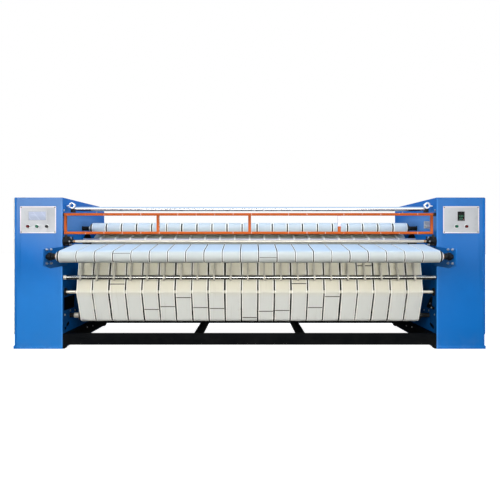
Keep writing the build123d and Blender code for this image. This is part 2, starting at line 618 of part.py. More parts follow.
keep("stripper_shaft", rod(WALL_TO_WALL, STRIPPER_AXIS, STRIPPER_RADIUS))
keep("stripper_fingers", *copies(stripper_finger(), belt_middles()))
tape_band = band([(TAPE_BAR_AXIS, TAPE_BAR_RADIUS, True), (TAPE_SAG, TAPE_TUBE_RADIUS, True)], TAPE,
                 around(0, TAPE_WIDTH / 2))
keep("transfer_tapes", *copies(tape_band, [x - TAPE_SHIFT for x in belt_middles()]))
keep("tape_tube", roll(TAPE_TUBE_AXIS, TAPE_TUBE_RADIUS, WALL - 4, [(PIVOT, BEARING_END)], TUBE_SKIN))
keep("tape_bar", roll(TAPE_BAR_AXIS, TAPE_BAR_RADIUS, TAPE_BAR_HALF, [(PIVOT, BEARING_END)], TUBE_SKIN))

# ---- fittings on the walls ------------------------------------------------------------------------------
CAP_AXIS, CAP_RADIUS, CAP_THICK = (688.0, 838.0), 162.0, 8.0
WINDOW_PLATE = ((30.0, 315.0), (311.0, 444.0))     # blanks behind the walls' openings: depths, heights
SLOT_PLATE = ((40.0, 185.0), (138.0, 221.0))
# belt tension arm on the right wall, with its two bolts
ARM = [(92, 436), (120, 436), (228, 338), (222, 328), (56, 328), (50, 350), (118, 356)]
ARM_THICK, ARM_CORNER = 10.0, 4.0
ARM_BOLTS = [(127, 374), (98, 340)]
SWITCH_DEPTH, SWITCH_HEIGHT = (178.0, 212.0), (1033.0, 1098.0)
SWITCH_OUT, SWITCH_CORNER = 40.0, 6.0
LEVER = [(186, 1052), (186, 1064), (84, 1050), (84, 1040)]
LEVER_OUT, ROLLER, ROLLER_RADIUS, ROLLER_OUT = 48.0, (82, 1044), 9.0, 52.0
WALL_SCREWS = [(50, 285), (194, 304), (318, 292), (31, 1184), (1000, 1223)]
SCREW_ACROSS, SCREW_HEAD = 16.0, 7.0
BEAM_SCREWS = [(520, 105), (700, 90)]
BEAM_HEAD, BEAM_HEAD_RADIUS = 5.0, 8.0


def limit_switch():
    """A switch on the right wall with a roller lever behind the guard."""
    body = block((WALL - SWITCH_OUT, WALL), SWITCH_DEPTH, SWITCH_HEIGHT)
    body = fillet(body.edges().filter_by(Axis.X), SWITCH_CORNER)
    lever = slab(LEVER, (WALL - LEVER_OUT, WALL - SWITCH_OUT))
    return body + lever + rod((WALL - ROLLER_OUT, WALL - SWITCH_OUT), ROLLER, ROLLER_RADIUS)


def frame_bolts(side):
    beam_face = WALL - SIDE_BEAM_WIDTH
    heads = bracket_nuts(side)
    heads += [hexagon(out(side, WALL - SCREW_HEAD, WALL), place, SCREW_ACROSS) for place in WALL_SCREWS]
    heads += [rod(out(side, beam_face - BEAM_HEAD, beam_face), place, BEAM_HEAD_RADIUS)
              for place in BEAM_SCREWS]
    if side > 0:
        face = WALL - ARM_THICK
        heads += [hexagon((face - SCREW_HEAD, face), place, SCREW_ACROSS) for place in ARM_BOLTS]
    return heads


def wall_cap(side):
    x = out(side, WALL - CAP_THICK, WALL)
    return rod(x, CAP_AXIS, CAP_RADIUS) - rod(x, STRIPPER_AXIS, STRIPPER_RADIUS + 1)


caps = [wall_cap(side) for side in SIDES]
blanks = [block(out(side, WALL_BACK, WALL_BACK + SHEET), *SLOT_PLATE) for side in SIDES]
blanks.append(block(out(-1, WALL_BACK, WALL_BACK + SHEET), *WINDOW_PLATE))
keep("wall_fittings", *caps, *blanks, slab(ARM, (WALL - ARM_THICK, WALL), corner=ARM_CORNER))
keep("limit_switch", limit_switch())
keep("frame_bolts", *[head for side in SIDES for head in frame_bolts(side)])

# ---- control panels -------------------------------------------------------------------------------------
PLATE_CORNER = 5.0
PLATE_SCREW_INSET, PLATE_SCREW_RADIUS, PLATE_SCREW_HEAD = 9.0, 5.0, 2.5
BEZEL_FLANGE, BEZEL_BARREL, BEZEL_END = 4.0, BEZEL_RADIUS - 2, 30.0
SCREEN_OUT, SCREEN_END = 1.5, 38.0
CONTROLLER_OUT, CONTROLLER_END = 4.0, 80.0


def control_plate(side):
    middle, level = PLATE_CENTRE
    depth = (-PLATE_THICK, 0)
    plate = block(around(side * middle, PLATE_SIZE[0] / 2), depth, around(level, PLATE_SIZE[1] / 2))
    plate = fillet(plate.edges().filter_by(Axis.Y), PLATE_CORNER)
    x_hole, z_hole = SCREEN if side < 0 else CONTROLLER
    plate -= block(x_hole, depth, z_hole)
    for x_button in BUTTONS.values():
        if x_button * side > 0:
            plate -= rod_back(x_button, depth, BUTTON_HEIGHT, BEZEL_BARREL)
    return plate


def plate_screws(side):
    middle, level = PLATE_CENTRE
    head = (-PLATE_THICK - PLATE_SCREW_HEAD, -PLATE_THICK)
    return [rod_back(x, head, z, PLATE_SCREW_RADIUS)
            for x in around(side * middle, PLATE_SIZE[0] / 2 - PLATE_SCREW_INSET)
            for z in around(level, PLATE_SIZE[1] / 2 - PLATE_SCREW_INSET)]


def bezel(x):
    """A threaded collar: a flange in front of the plate and a barrel behind it."""
    front = -PLATE_THICK - BEZEL_FLANGE
    face = rod_back(x, (front, -PLATE_THICK), BUTTON_HEIGHT, BEZEL_RADIUS)
    face += rod_back(x, (-PLATE_THICK, BEZEL_END), BUTTON_HEIGHT, BEZEL_BARREL)
    return face - rod_back(x, (front, BEZEL_END), BUTTON_HEIGHT, BUTTON_RADIUS + 0.3)


def button(x):
    cap = rod_back(x, (-BUTTON_OUT, BUTTON_IN), BUTTON_HEIGHT, BUTTON_RADIUS)
    return fillet(cap.edges().sort_by(Axis.Y)[0], 2)


keep("control_plates", *[control_plate(side) for side in SIDES])
keep("plate_screws", *[screw for side in SIDES for screw in plate_screws(side)])
keep("button_bezels", *[bezel(x) for x in BUTTONS.values()])
for name, x in BUTTONS.items():
    keep(name, button(x))
keep("touch_screen", block(SCREEN[0], (-PLATE_THICK - SCREEN_OUT, SCREEN_END), SCREEN[1]))
keep("temperature_controller",
     block(CONTROLLER[0], (-PLATE_THICK - CONTROLLER_OUT, CONTROLLER_END), CONTROLLER[1]))

# ---- drive, in the right cabinet ------------------------------------------------------------------------
BED_X, BED_DEPTHS, BED_HEIGHTS = (1614.0, 1992.0), (240.0, 800.0), (100.0, 108.0)
BED_FLANGE = 8.0
GEARBOX_X, GEARBOX_HALF, GEARBOX_TOP, GEARBOX_CORNER = (1745.0, 1905.0), 95.0, 345.0, 20.0
NOSE_START, NOSE_RADIUS = 1728.0, 50.0
SHAFT_RADIUS, SHAFT_END, SHAFT_BORE_END = 20.0, 1795.0, 1800.0
MOTOR_X = sum(GEARBOX_X) / 2
MOTOR_DEPTHS = (DRIVE_AXIS[0] + GEARBOX_HALF, DRIVE_AXIS[0] + 380)
MOTOR_RADIUS, FAN_RADIUS, FAN_LENGTH = 78.0, 70.0, 40.0
MOTOR_FOOT = (35.0, 150.0, 330.0, 60.0)      # half width, near and far from the drive shaft, below it
TERMINALS = (30.0, 180.0, 290.0, 112.0)      # half width, near and far from the drive shaft, above it
DRIVE_HUB = 42.0
CHAIN_LINK = 20.0                  # height of a link plate
CHAIN_PLATE = 3.0
CHAIN_PLATES = (CHAIN_MIDDLE - 8, CHAIN_MIDDLE + 5)


def drive_bed():
    """A folded bridge over the cabinet floor."""
    bed = block(BED_X, BED_DEPTHS, BED_HEIGHTS)
    for x in ((BED_X[0], BED_X[0] + BED_FLANGE), (BED_X[1] - BED_FLANGE, BED_X[1])):
        bed += block(x, BED_DEPTHS, (PLINTH_HEIGHT, BED_HEIGHTS[0]))
    return bed


def gearbox():
    box = block(GEARBOX_X, around(DRIVE_AXIS[0], GEARBOX_HALF), (BED_HEIGHTS[1], GEARBOX_TOP))
    box = fillet(box.edges().filter_by(Axis.X), GEARBOX_CORNER)
    box += rod((NOSE_START, GEARBOX_X[0]), DRIVE_AXIS, NOSE_RADIUS)
    return box - rod((NOSE_START, SHAFT_BORE_END), DRIVE_AXIS, SHAFT_RADIUS + RUNNING)


def drive_motor():
    """A motor body with its fan cowl, foot and terminal box."""
    depth, height = DRIVE_AXIS
    body = rod_back(MOTOR_X, MOTOR_DEPTHS, height, MOTOR_RADIUS)
    body += rod_back(MOTOR_X, (MOTOR_DEPTHS[1], MOTOR_DEPTHS[1] + FAN_LENGTH), height, FAN_RADIUS)
    half, near, far, below = MOTOR_FOOT
    body += block(around(MOTOR_X, half), (depth + near, depth + far), (BED_HEIGHTS[1], height - below))
    half, near, far, above = TERMINALS
    return body + block(around(MOTOR_X, half), (depth + near, depth + far), (height + 60, height + above))


def link_plates():
    """Inner and outer rows of chain plates, each one endless band."""
    wheels = []
    for axis, teeth in ((CYLINDER_AXIS, CYLINDER_TEETH), (DRIVE_AXIS, DRIVE_TEETH)):
        wheels.append((axis, LINK_PITCH / 2 / sin(pi / teeth) - CHAIN_LINK / 2, True))
    return [band(wheels, CHAIN_LINK, (x, x + CHAIN_PLATE)) for x in CHAIN_PLATES]


keep("drive_bed", drive_bed())
keep("gearbox", gearbox())
keep("drive_motor", drive_motor())
drive_wheel = sprocket(DRIVE_AXIS, DRIVE_TEETH, SPROCKET_THICK, DRIVE_HUB, HUB_HALF, 0)
keep("drive_sprocket", drive_wheel + rod((CHAIN_MIDDLE, SHAFT_END), DRIVE_AXIS, SHAFT_RADIUS))
keep("drive_chain", *link_plates())

# ---- steam and electrics, in the left cabinet -----------------------------------------------------------
UNION_X, UNION_RADIUS = (-1796.0, -1702.0), 46.0
UNION_NUT_X, UNION_NUT_RADIUS = (-1730.0, -1715.0), 56.0
UNION_BORE_START = -1780.0
BOX_X, BOX_DEPTH, BOX_HEIGHT = (-1985.0, -1720.0), (60.0, 280.0), (340.0, 900.0)
BOX_SKIN, CABLE_HOLE = 2.0, 22.0
GLAND_OUT = (CABINET_DEPTH - REAR_INSET, CABINET_DEPTH)
GLAND_IN = (GLAND_OUT[0] - 12, GLAND_OUT[0])


def rotary_union():
    body = rod(UNION_X, CYLINDER_AXIS, UNION_RADIUS) + rod(UNION_NUT_X, CYLINDER_AXIS, UNION_NUT_RADIUS)
    return body - rod((UNION_BORE_START, UNION_X[1]), CYLINDER_AXIS, STEAM_BORE)


def steam_pipe():
    """Straight from the union to the back."""
    run = (CYLINDER_AXIS[0] + UNION_RADIUS, CABINET_DEPTH)
    return rod_back(PIPE_X, run, PIPE_HEIGHT, PIPE_RADIUS) - rod_back(PIPE_X, run, PIPE_HEIGHT, PIPE_BORE)


def drain_pipe():
    """Down from the union, then to the back."""
    axis = CYLINDER_AXIS[0]
    drain = rod_up(PIPE_X, axis, (DRAIN_HEIGHT, PIPE_HEIGHT - UNION_RADIUS), PIPE_RADIUS)
    drain += rod_back(PIPE_X, (axis - PIPE_RADIUS, CABINET_DEPTH), DRAIN_HEIGHT, PIPE_RADIUS)
    return drain - rod_back(PIPE_X, (axis, CABINET_DEPTH), DRAIN_HEIGHT, PIPE_BORE)


def electrical_box():
    """A closed sheet box with one cable hole in its floor."""
    box = block(BOX_X, BOX_DEPTH, BOX_HEIGHT)
    box -= block(*[(low + BOX_SKIN, high - BOX_SKIN) for low, high in (BOX_X, BOX_DEPTH, BOX_HEIGHT)])
    return box - rod_up(sum(BOX_X) / 2, sum(BOX_DEPTH) / 2, around(BOX_HEIGHT[0], 5), CABLE_HOLE)


def cable_gland():
    gland = rod_back(GLAND[0], GLAND_OUT, GLAND[1], GLAND_NUT)
    gland += rod_back(GLAND[0], GLAND_IN, GLAND[1], GLAND_RADIUS)
    return gland - rod_back(GLAND[0], (GLAND_IN[0], GLAND_OUT[1]), GLAND[1], GLAND_BORE)


keep("rotary_union", rotary_union())
keep("steam_pipes", steam_pipe(), drain_pipe())
keep("electrical_box", electrical_box())
keep("cable_gland", cable_gland())

# ---- rear cover -----------------------------------------------------------------------------------------
PANEL_COUNT = 3
PANEL_WIDTH = 2 * WALL / PANEL_COUNT
PANEL_GAP = 1.0                    # each side of a panel
PANEL_DEPTHS, PANEL_HEIGHTS = (1288.0, CABINET_DEPTH), (130.0, 1106.0)
VENT_COUNT, VENT_TOP, VENT_STEP, VENT_HALF = 6, 1000.0, 14.0, (150.0, 3.0)


def rear_panel(index):
    """A shallow tray, open to the back, with a row of vents."""
    low = -WALL + index * PANEL_WIDTH
    high = low + PANEL_WIDTH
    face = (PANEL_DEPTHS[0], PANEL_DEPTHS[0] + SHEET)
    lip = PANEL_GAP + SHEET
    panel = block((low + PANEL_GAP, high - PANEL_GAP), PANEL_DEPTHS, PANEL_HEIGHTS)
    panel -= block((low + lip, high - lip), (face[1], PANEL_DEPTHS[1]),
                   (PANEL_HEIGHTS[0] + SHEET, PANEL_HEIGHTS[1] - SHEET))
    for row in range(VENT_COUNT):
        level = VENT_TOP - VENT_STEP * row
        panel -= block(around((low + high) / 2, VENT_HALF[0]), face, around(level, VENT_HALF[1]))
    return panel


keep("rear_panels", *[rear_panel(i) for i in range(PANEL_COUNT)])

os.makedirs("parts", exist_ok=True)
for name, shape in nodes.items():
    export_step(shape, f"parts/{name}.step")
print(len(nodes), "nodes")
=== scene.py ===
"""Dresses a 3 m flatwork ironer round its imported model: cabinets, belts, rolls, guard, panels and stage."""

import json
import math
import random

import bmesh
import bpy
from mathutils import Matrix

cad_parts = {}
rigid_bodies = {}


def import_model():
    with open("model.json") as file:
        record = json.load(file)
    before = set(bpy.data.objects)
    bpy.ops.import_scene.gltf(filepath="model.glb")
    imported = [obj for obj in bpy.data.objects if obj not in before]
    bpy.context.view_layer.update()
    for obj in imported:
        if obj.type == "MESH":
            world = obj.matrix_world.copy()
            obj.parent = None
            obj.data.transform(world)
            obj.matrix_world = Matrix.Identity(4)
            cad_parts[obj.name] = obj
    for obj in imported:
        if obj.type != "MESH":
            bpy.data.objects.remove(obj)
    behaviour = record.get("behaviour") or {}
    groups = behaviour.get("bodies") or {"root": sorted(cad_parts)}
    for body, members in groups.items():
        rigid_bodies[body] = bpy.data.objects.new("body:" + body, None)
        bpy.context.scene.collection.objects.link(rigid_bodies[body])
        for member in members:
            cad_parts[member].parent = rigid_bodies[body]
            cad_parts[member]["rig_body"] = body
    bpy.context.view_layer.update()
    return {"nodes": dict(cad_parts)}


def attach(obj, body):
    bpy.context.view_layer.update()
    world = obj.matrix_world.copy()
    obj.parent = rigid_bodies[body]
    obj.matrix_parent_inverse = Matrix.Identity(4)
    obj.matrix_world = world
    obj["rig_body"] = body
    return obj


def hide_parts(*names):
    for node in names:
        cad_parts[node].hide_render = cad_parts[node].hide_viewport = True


bl_info = {
    "name": "Flatwork ironer",
    "version": (1, 0, 0),
    "blender": (4, 5, 0),
    "location": "View3D > Sidebar > Ironer",
    "description": "Builds the looks of a 3 m flatwork ironer piece by piece",
    "category": "Object",
}

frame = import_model()

SIDES = (-1, 1)
FRONT = -0.4325          # Y of the cabinets' front face; depths below are measured from it
WALL = 1.596             # X of each side wall's inner face
CLEAR = 0.0015           # gap between a belt and what it runs on
ROLL = 0.0445            # radius of the rolls
ROLL_END = 1.512         # where a roll's shell ends, from the middle
RIBS_START = 1.5335      # the first rib on a roll's shaft end
BEARING_END = 1.642      # where most shafts end
CABINET_DEPTH, CABINET_HEIGHT = 1.300, 1.292

RETURN = (0.178, 0.800)
FRONT_BOTTOM = (0.199, 0.262)
REAR_BOTTOM = (1.220, 0.190)
REAR_TOP = (1.220, 1.050)
TOP = (0.545, 1.044)
BEND = (0.062, 0.481)
CYLINDER = (0.848, 0.608)
CYLINDER_RADIUS = 0.400
NIP = (0.848 + 0.454 * math.cos(math.radians(155)), 0.608 + 0.454 * math.sin(math.radians(155)))
FEED = (-0.335, 0.796)
REAR_FEED = (0.045, 0.848)
PRESS = (0.035, 0.918)
TAPE_TUBE = (0.018, 0.609)
TAPE_SAG = (0.0145, 0.6015)      # the tapes hang slack below their tube
TAPE_BAR = (0.090, 0.788)
RAIL = (0.140, 1.202)
PLATE_X, PLATE_Z = 1.804, 1.102      # middle of each control plate
BUTTON_Z = 1.045

# (axis, radius, inside): a wheel that isn't inside turns the band back
IRONING_WHEELS = [(RETURN, ROLL, True), (BEND, 0.014, True), (FRONT_BOTTOM, ROLL, True),
                  (REAR_BOTTOM, ROLL, True), (REAR_TOP, ROLL, True), (TOP, ROLL, True),
                  (CYLINDER, CYLINDER_RADIUS, False), (NIP, ROLL, True)]
FEED_WHEELS = [(FEED, ROLL, True), (REAR_FEED, ROLL, True)]
TAPE_WHEELS = [(TAPE_BAR, 0.015, True), (TAPE_SAG, 0.019, True)]

# heights of the belts' seams on the front strand, by belt number from the left
FRONT_SEAMS = {2: 0.548, 4: 0.324, 5: 0.350, 6: 0.433, 7: 0.341, 8: 0.333, 10: 0.249, 11: 0.307, 12: 0.315,
               13: 0.552, 14: 0.341, 15: 0.442, 17: 0.705}
FEED_SEAMS = {3: 0.820, 11: 0.790}


def srgb(red, green, blue):
    """A colour given as it looks on a screen, 0 to 255, as Blender's linear numbers."""
    share = [c / 255 for c in (red, green, blue)]
    return [c / 12.92 if c <= 0.04045 else ((c + 0.055) / 1.055) ** 2.4 for c in share]


# ---- settings ----


def length(name, description, default):
    return bpy.props.FloatProperty(name=name, description=description, default=default, min=0.0, unit="LENGTH")


def colour(name, description, *default):
    return bpy.props.FloatVectorProperty(name=name, description=description, default=srgb(*default), min=0.0,
                                         max=1.0, subtype="COLOR")


class IronerSizes(bpy.types.PropertyGroup):
    """Sizes of the pieces that repeat across the machine"""

    belt_count: bpy.props.IntProperty(name="Belts", description="Belts side by side", default=21, min=1)
    belt_pitch: length("Belt pitch", "From one belt's middle to the next", 3.0 / 21)
    ironing_width: length("Ironing belt width", "Width of each felt belt", 3.0 / 21 - 0.012)
    feed_width: length("Feeding belt width", "Width of each canvas belt", 3.0 / 21 - 0.007)
    tape_width: length("Tape width", "Width of each transfer tape", 0.014)
    tape_shift: length("Tape shift", "How far left of a belt's middle its tape runs", 0.017)
    felt: length("Felt", "Thickness of the ironing belts", 0.006)
    canvas: length("Canvas", "Thickness of the feeding belts", 0.003)
    tape: length("Tape", "Thickness of the tapes", 0.002)
    drift: length("Drift", "How far a belt wanders sideways on its rolls", 0.0022)
    seam: length("Seam", "Height of a belt's lacing along the belt", 0.008)
    sheet_edge: length("Sheet edge", "Rounding of folded sheet metal", 0.0012)
    casting_edge: length("Casting edge", "Rounding of castings and bars", 0.0016)


class IronerColours(bpy.types.PropertyGroup):
    """Colours of the ironer's finishes"""

    blue: colour("Blue", "Cabinet paint", 12, 107, 186)
    wall: colour("Wall", "Inner side walls", 8, 110, 196)
    # a lighter blue for the walls' front edges: a painted highlight
    blue_edge: colour("Blue edge", "Front edges of the thick walls", 44, 128, 208)
    cream: colour("Cream", "Left service cover", 226, 222, 205)
    orange: colour("Orange", "Finger guard paint", 212, 100, 43)
    black: colour("Black", "Frame paint", 5, 7, 10)
    # the felt colour shows by height, between the cool lower front strand and the tinted top
    felt: colour("Felt", "Ironing belts where the cylinder has warmed them", 250, 245, 224)
    # painted sky light on the belts' upper parts, below
    felt_top: colour("Felt, top", "Ironing belts over the top rolls", 202, 212, 220)
    felt_cool: colour("Felt, cool", "Ironing belts low on the front strand", 225, 226, 220)
    canvas: colour("Canvas", "Feeding belts", 193, 197, 194)
    canvas_top: colour("Canvas, top", "Upper side of the feeding belts", 197, 212, 226)
    tape: colour("Tape", "Transfer tapes", 226, 222, 208)
    stainless: colour("Stainless", "Control plates", 190, 191, 193)
    tube: colour("Tube", "Polished tubes", 206, 208, 212)
    copper: colour("Copper", "Warm steel rings at the shaft ends", 176, 130, 92)
    cylinder: colour("Cylinder", "The heated cylinder's skin", 205, 206, 192)
    nylon: colour("Nylon", "Stripper fingers", 250, 250, 248)
    # the screen's pale tone is a painted reflection on the dark glass of a screen that is off
    screen: colour("Screen", "Touch screen when it's off", 168, 176, 197)
    red: colour("Red", "Stop buttons", 100, 14, 20)
    green: colour("Green", "Start buttons", 14, 96, 66)
    floor: colour("Floor", "Studio floor", 170, 170, 170)


# ---- node trees ----


class Value:
    """An output socket. Arithmetic on it adds Math nodes to its tree."""

    def __init__(self, tree, socket):
        self.tree, self.socket = tree, socket

    def maths(self, operation, *values):
        return self.tree.node("ShaderNodeMath", {"operation": operation}, dict(enumerate(values)))

    def output(self, name):
        """Another output of the same node."""
        return Value(self.tree, self.socket.node.outputs[name])

    def __add__(self, other):
        return self.maths("ADD", self, other)

    def __sub__(self, other):
        return self.maths("SUBTRACT", self, other)

    def __rsub__(self, other):
        return self.maths("SUBTRACT", other, self)

    def __mul__(self, other):
        return self.maths("MULTIPLY", self, other)

    def __abs__(self):
        return self.maths("ABSOLUTE", self)

    __radd__ = __add__
    __rmul__ = __mul__


class Tree:
    """A node tree that is written as calls."""

    def __init__(self, tree):
        self.tree = tree

    def node(self, kind, settings=None, inputs=None, output=0):
        """Adds a node: its settings first, then the values or links of its sockets."""
        made = self.tree.nodes.new(kind)
        for name, value in (settings or {}).items():
            if name == "stops":
                ramp = made.color_ramp
                for place, shade in value[2:]:
                    ramp.elements.new(place)
                for element, (place, shade) in zip(ramp.elements, sorted(value)):
                    element.position, element.color = place, (*shade, 1.0)
            else:
                setattr(made, name, value)
        for key, value in (inputs or {}).items():
            socket = made.inputs[key]
            if isinstance(value, Value):
                self.tree.links.new(value.socket, socket)
            elif socket.type == "RGBA":
                socket.default_value = (*value[:3], 1.0)
            else:
                socket.default_value = value
        return Value(self, made.outputs[output])

    def point(self, x, y=0.0, z=0.0):
        return self.node("ShaderNodeCombineXYZ", inputs={0: x, 1: y, 2: z})

    def axes(self, vector):
        """A vector's X, Y and Z as three numbers."""
        split = self.node("ShaderNodeSeparateXYZ", inputs={0: vector})
        return split, split.output("Y"), split.output("Z")


class Finish(Tree):
    """A material: a Principled shader and what varies over its surface."""

    def __init__(self, name, **constants):
        self.material = bpy.data.materials.new(name)
        self.material.use_nodes = True
        super().__init__(self.material.node_tree)
        self.tree.nodes.clear()
        self.shader = self.tree.nodes.new("ShaderNodeBsdfPrincipled")
        output = self.tree.nodes.new("ShaderNodeOutputMaterial")
        self.tree.links.new(self.shader.outputs["BSDF"], output.inputs["Surface"])
        for socket, value in constants.items():
            self.shader.inputs[socket.replace("_", " ")].default_value = value
        self.spot = self.node("ShaderNodeTexCoord", output="Object")
        self.tone = None

    def shades(self, shade, low, high, share):
        """Starts the tone between two multiples of a shade."""
        self.tone = self.mix(times(shade, low), times(shade, high), share)

    def over(self, shade, share):
        """Lays a shade over the tone."""
        self.tone = self.mix(self.tone, shade, share)

    def wire(self, **links):
        """Sets what varies: the tone, Roughness, Coat_Weight, Emission_Color, Normal."""
        for socket, value in {"Base_Color": self.tone, **links}.items():
            self.tree.links.new(value.socket, self.shader.inputs[socket.replace("_", " ")])
        return self.material

    def stretched(self, scale, turn=(0.0, 0.0, 0.0)):
        """The object's coordinates, scaled along each axis."""
        return self.node("ShaderNodeMapping", inputs={"Vector": self.spot, "Scale": scale, "Rotation": turn})

    def noise(self, scale, detail=3.0, roughness=0.5, where=None):
        return self.node("ShaderNodeTexNoise", inputs={
            "Vector": where or self.spot, "Scale": scale, "Detail": detail, "Roughness": roughness})

    def attribute(self, name):
        return self.node("ShaderNodeAttribute", {"attribute_name": name}, output="Fac")

    def between(self, value, low, high):
        """0 below low, 1 above high, smooth between; low may be the larger."""
        return self.node("ShaderNodeMapRange", {"interpolation_type": "SMOOTHSTEP"},
                         {"Value": value, "From Min": low, "From Max": high})

    def mix(self, first, second, share):
        return self.node("ShaderNodeMix", {"data_type": "RGBA"}, {0: share, 6: first, 7: second}, output=2)

    def bump(self, height, strength, distance):
        return self.node("ShaderNodeBump", inputs={
            "Height": height, "Strength": strength, "Distance": distance})


def times(shade, share):
    return tuple(c * share for c in shade)


def paler(shade, by):
    return [min(1.0, c + by) for c in shade]


def painted(name, shade, under, rough=0.42, wear=0.6, dust=0.25, painted_reflection=0.0, gloss=0.16):
    """Powder coat: orange peel, faint blotches, rubbed edges, scuffs and dust low down; where a reflection
    share is given, a painted sky reflection high up the fronts, painted light low on the left front and
    painted shade on the outer front edges.
    """
    f = Finish(name, Specular_IOR_Level=gloss)
    blotch = f.noise(1.7, 4.0)
    fine = f.noise(85.0, 4.0, 0.6)
    rubbed = f.attribute("edge") * f.between(f.noise(38.0, 5.0, 0.65), 0.60, 0.72) * wear
    scuff = f.between(f.noise(2.2, 6.0, 0.7, f.stretched((1.0, 1.0, 7.0), (0.0, 0.3, 0.2))), 0.66, 0.80)
    x, depth, height = f.axes(f.spot)
    low = f.between(height, 0.20, 0.0) * f.between(f.noise(9.0, 5.0, 0.7), 0.35, 0.75) * dust
    f.shades(shade, 0.90, 1.06, f.between(blotch, 0.30, 0.70))
    f.over(paler(shade, 0.16), scuff * 0.14)
    f.over(srgb(*under), rubbed)
    f.over(srgb(150, 144, 130), low)
    # painted light and shade on the cabinet fronts, below
    if painted_reflection:
        front = f.between(depth, FRONT + 0.02, FRONT + 0.01)
        # painted sky reflection: a pale band high up the fronts, stronger on the left cabinet
        painted_sky_reflection = f.between(height, 0.76 - f.between(x, -1.98, -1.60) * 0.25, 1.24)
        # painted shade on the rounded outer edge of each front
        strip = f.between(abs(x), 1.987, 1.990) * front
        flat = front * (1 - strip)
        f.over(srgb(131, 157, 192), painted_sky_reflection * flat * (1 - f.between(x, -0.5, 0.5) * 0.72) * painted_reflection)
        # painted light: a brighter blue low on the left cabinet's front
        f.over(srgb(80, 170, 251), flat * f.between(x, 0.5, -0.5) * f.between(height, 0.80, 0.40) * 0.18)
        # painted shade along the outer front edges
        f.over(times(shade, 0.8), strip * 0.35)
    peel = f.noise(620.0, 2.0) + rubbed * -1.5 + scuff * 0.3
    return f.wire(Roughness=rough + fine * 0.10 + scuff * 0.15 + low * 0.30 + rubbed * 0.1,
                  Normal=f.bump(peel, 0.10, 0.0006))


def wall_paint(name, shade):
    """The inner walls' paint: as the cabinets', with a painted pool of light beside the guard and painted
    shade darkening it towards the floor.
    """
    f = Finish(name, Specular_IOR_Level=0.08)
    _, depth, height = f.axes(f.spot)
    scuff = f.between(f.noise(2.6, 6.0, 0.7, f.stretched((1.0, 6.0, 1.0))), 0.62, 0.80)
    edge = f.attribute("edge") * f.between(f.noise(38.0, 5.0, 0.65), 0.60, 0.72)
    f.shades(shade, 0.92, 1.05, f.between(f.noise(1.7, 4.0), 0.30, 0.70))
    # painted shade: darker towards the floor
    f.over(times(shade, 0.34), f.between(height, 0.86, 0.30) * 0.85)
    # painted light: a paler blue on the walls beside the guard, fading towards the back
    painted_light_beside_guard = f.between(height, 0.99, 1.03) * f.between(height, 1.20, 1.12)
    f.over(srgb(116, 164, 224), painted_light_beside_guard * f.between(depth, FRONT + 1.30, FRONT + 0.70) * 0.55)
    f.over(srgb(150, 176, 206), scuff * 0.08 + edge * 0.6)
    return f.wire(Roughness=0.46 + f.noise(85.0, 4.0, 0.6) * 0.12 + scuff * 0.12,
                  Normal=f.bump(f.noise(620.0, 2.0) + scuff * 0.3, 0.10, 0.0006))


def metal(name, shade, rough, grain, grime, strength, metallic=1.0):
    """Steel with machining or brushing lines, rubbed bright in places and grimy in others."""
    f = Finish(name, Metallic=metallic)
    lines = f.noise(6.0, 4.0, 0.6, f.stretched(grain))
    stain = f.between(f.noise(7.0, 6.0, 0.65), 0.52, 0.74) * grime
    f.shades(shade, 0.82, 1.05, lines)
    f.over(times(shade, 0.45), stain)
    f.over(times(shade, 1.15), f.attribute("edge") * 0.5)
    return f.wire(Roughness=rough + lines * 0.10 + stain * 0.5, Normal=f.bump(lines, strength, 0.0004))


def plastic(name, shade, rough, grain=900.0, depth=0.05, gloss=0.45):
    """Moulded plastic: fine texture, faint scratches, paler rubbed edges."""
    f = Finish(name, Specular_IOR_Level=gloss)
    fine = f.noise(grain, 2.0)
    scratch = f.between(f.noise(30.0, 5.0, 0.7, f.stretched((1.0, 1.0, 9.0), (0.4, 0.2, 0.0))), 0.64, 0.70)
    edge = f.attribute("edge") * f.between(f.noise(120.0, 3.0), 0.4, 0.7)
    f.shades(shade, 0.92, 1.05, f.noise(25.0, 3.0))
    f.over(paler(shade, 0.12), scratch * 0.35 + edge * 0.4)
    return f.wire(Roughness=rough + fine * 0.08 + scratch * 0.2, Normal=f.bump(fine, depth, 0.0003))


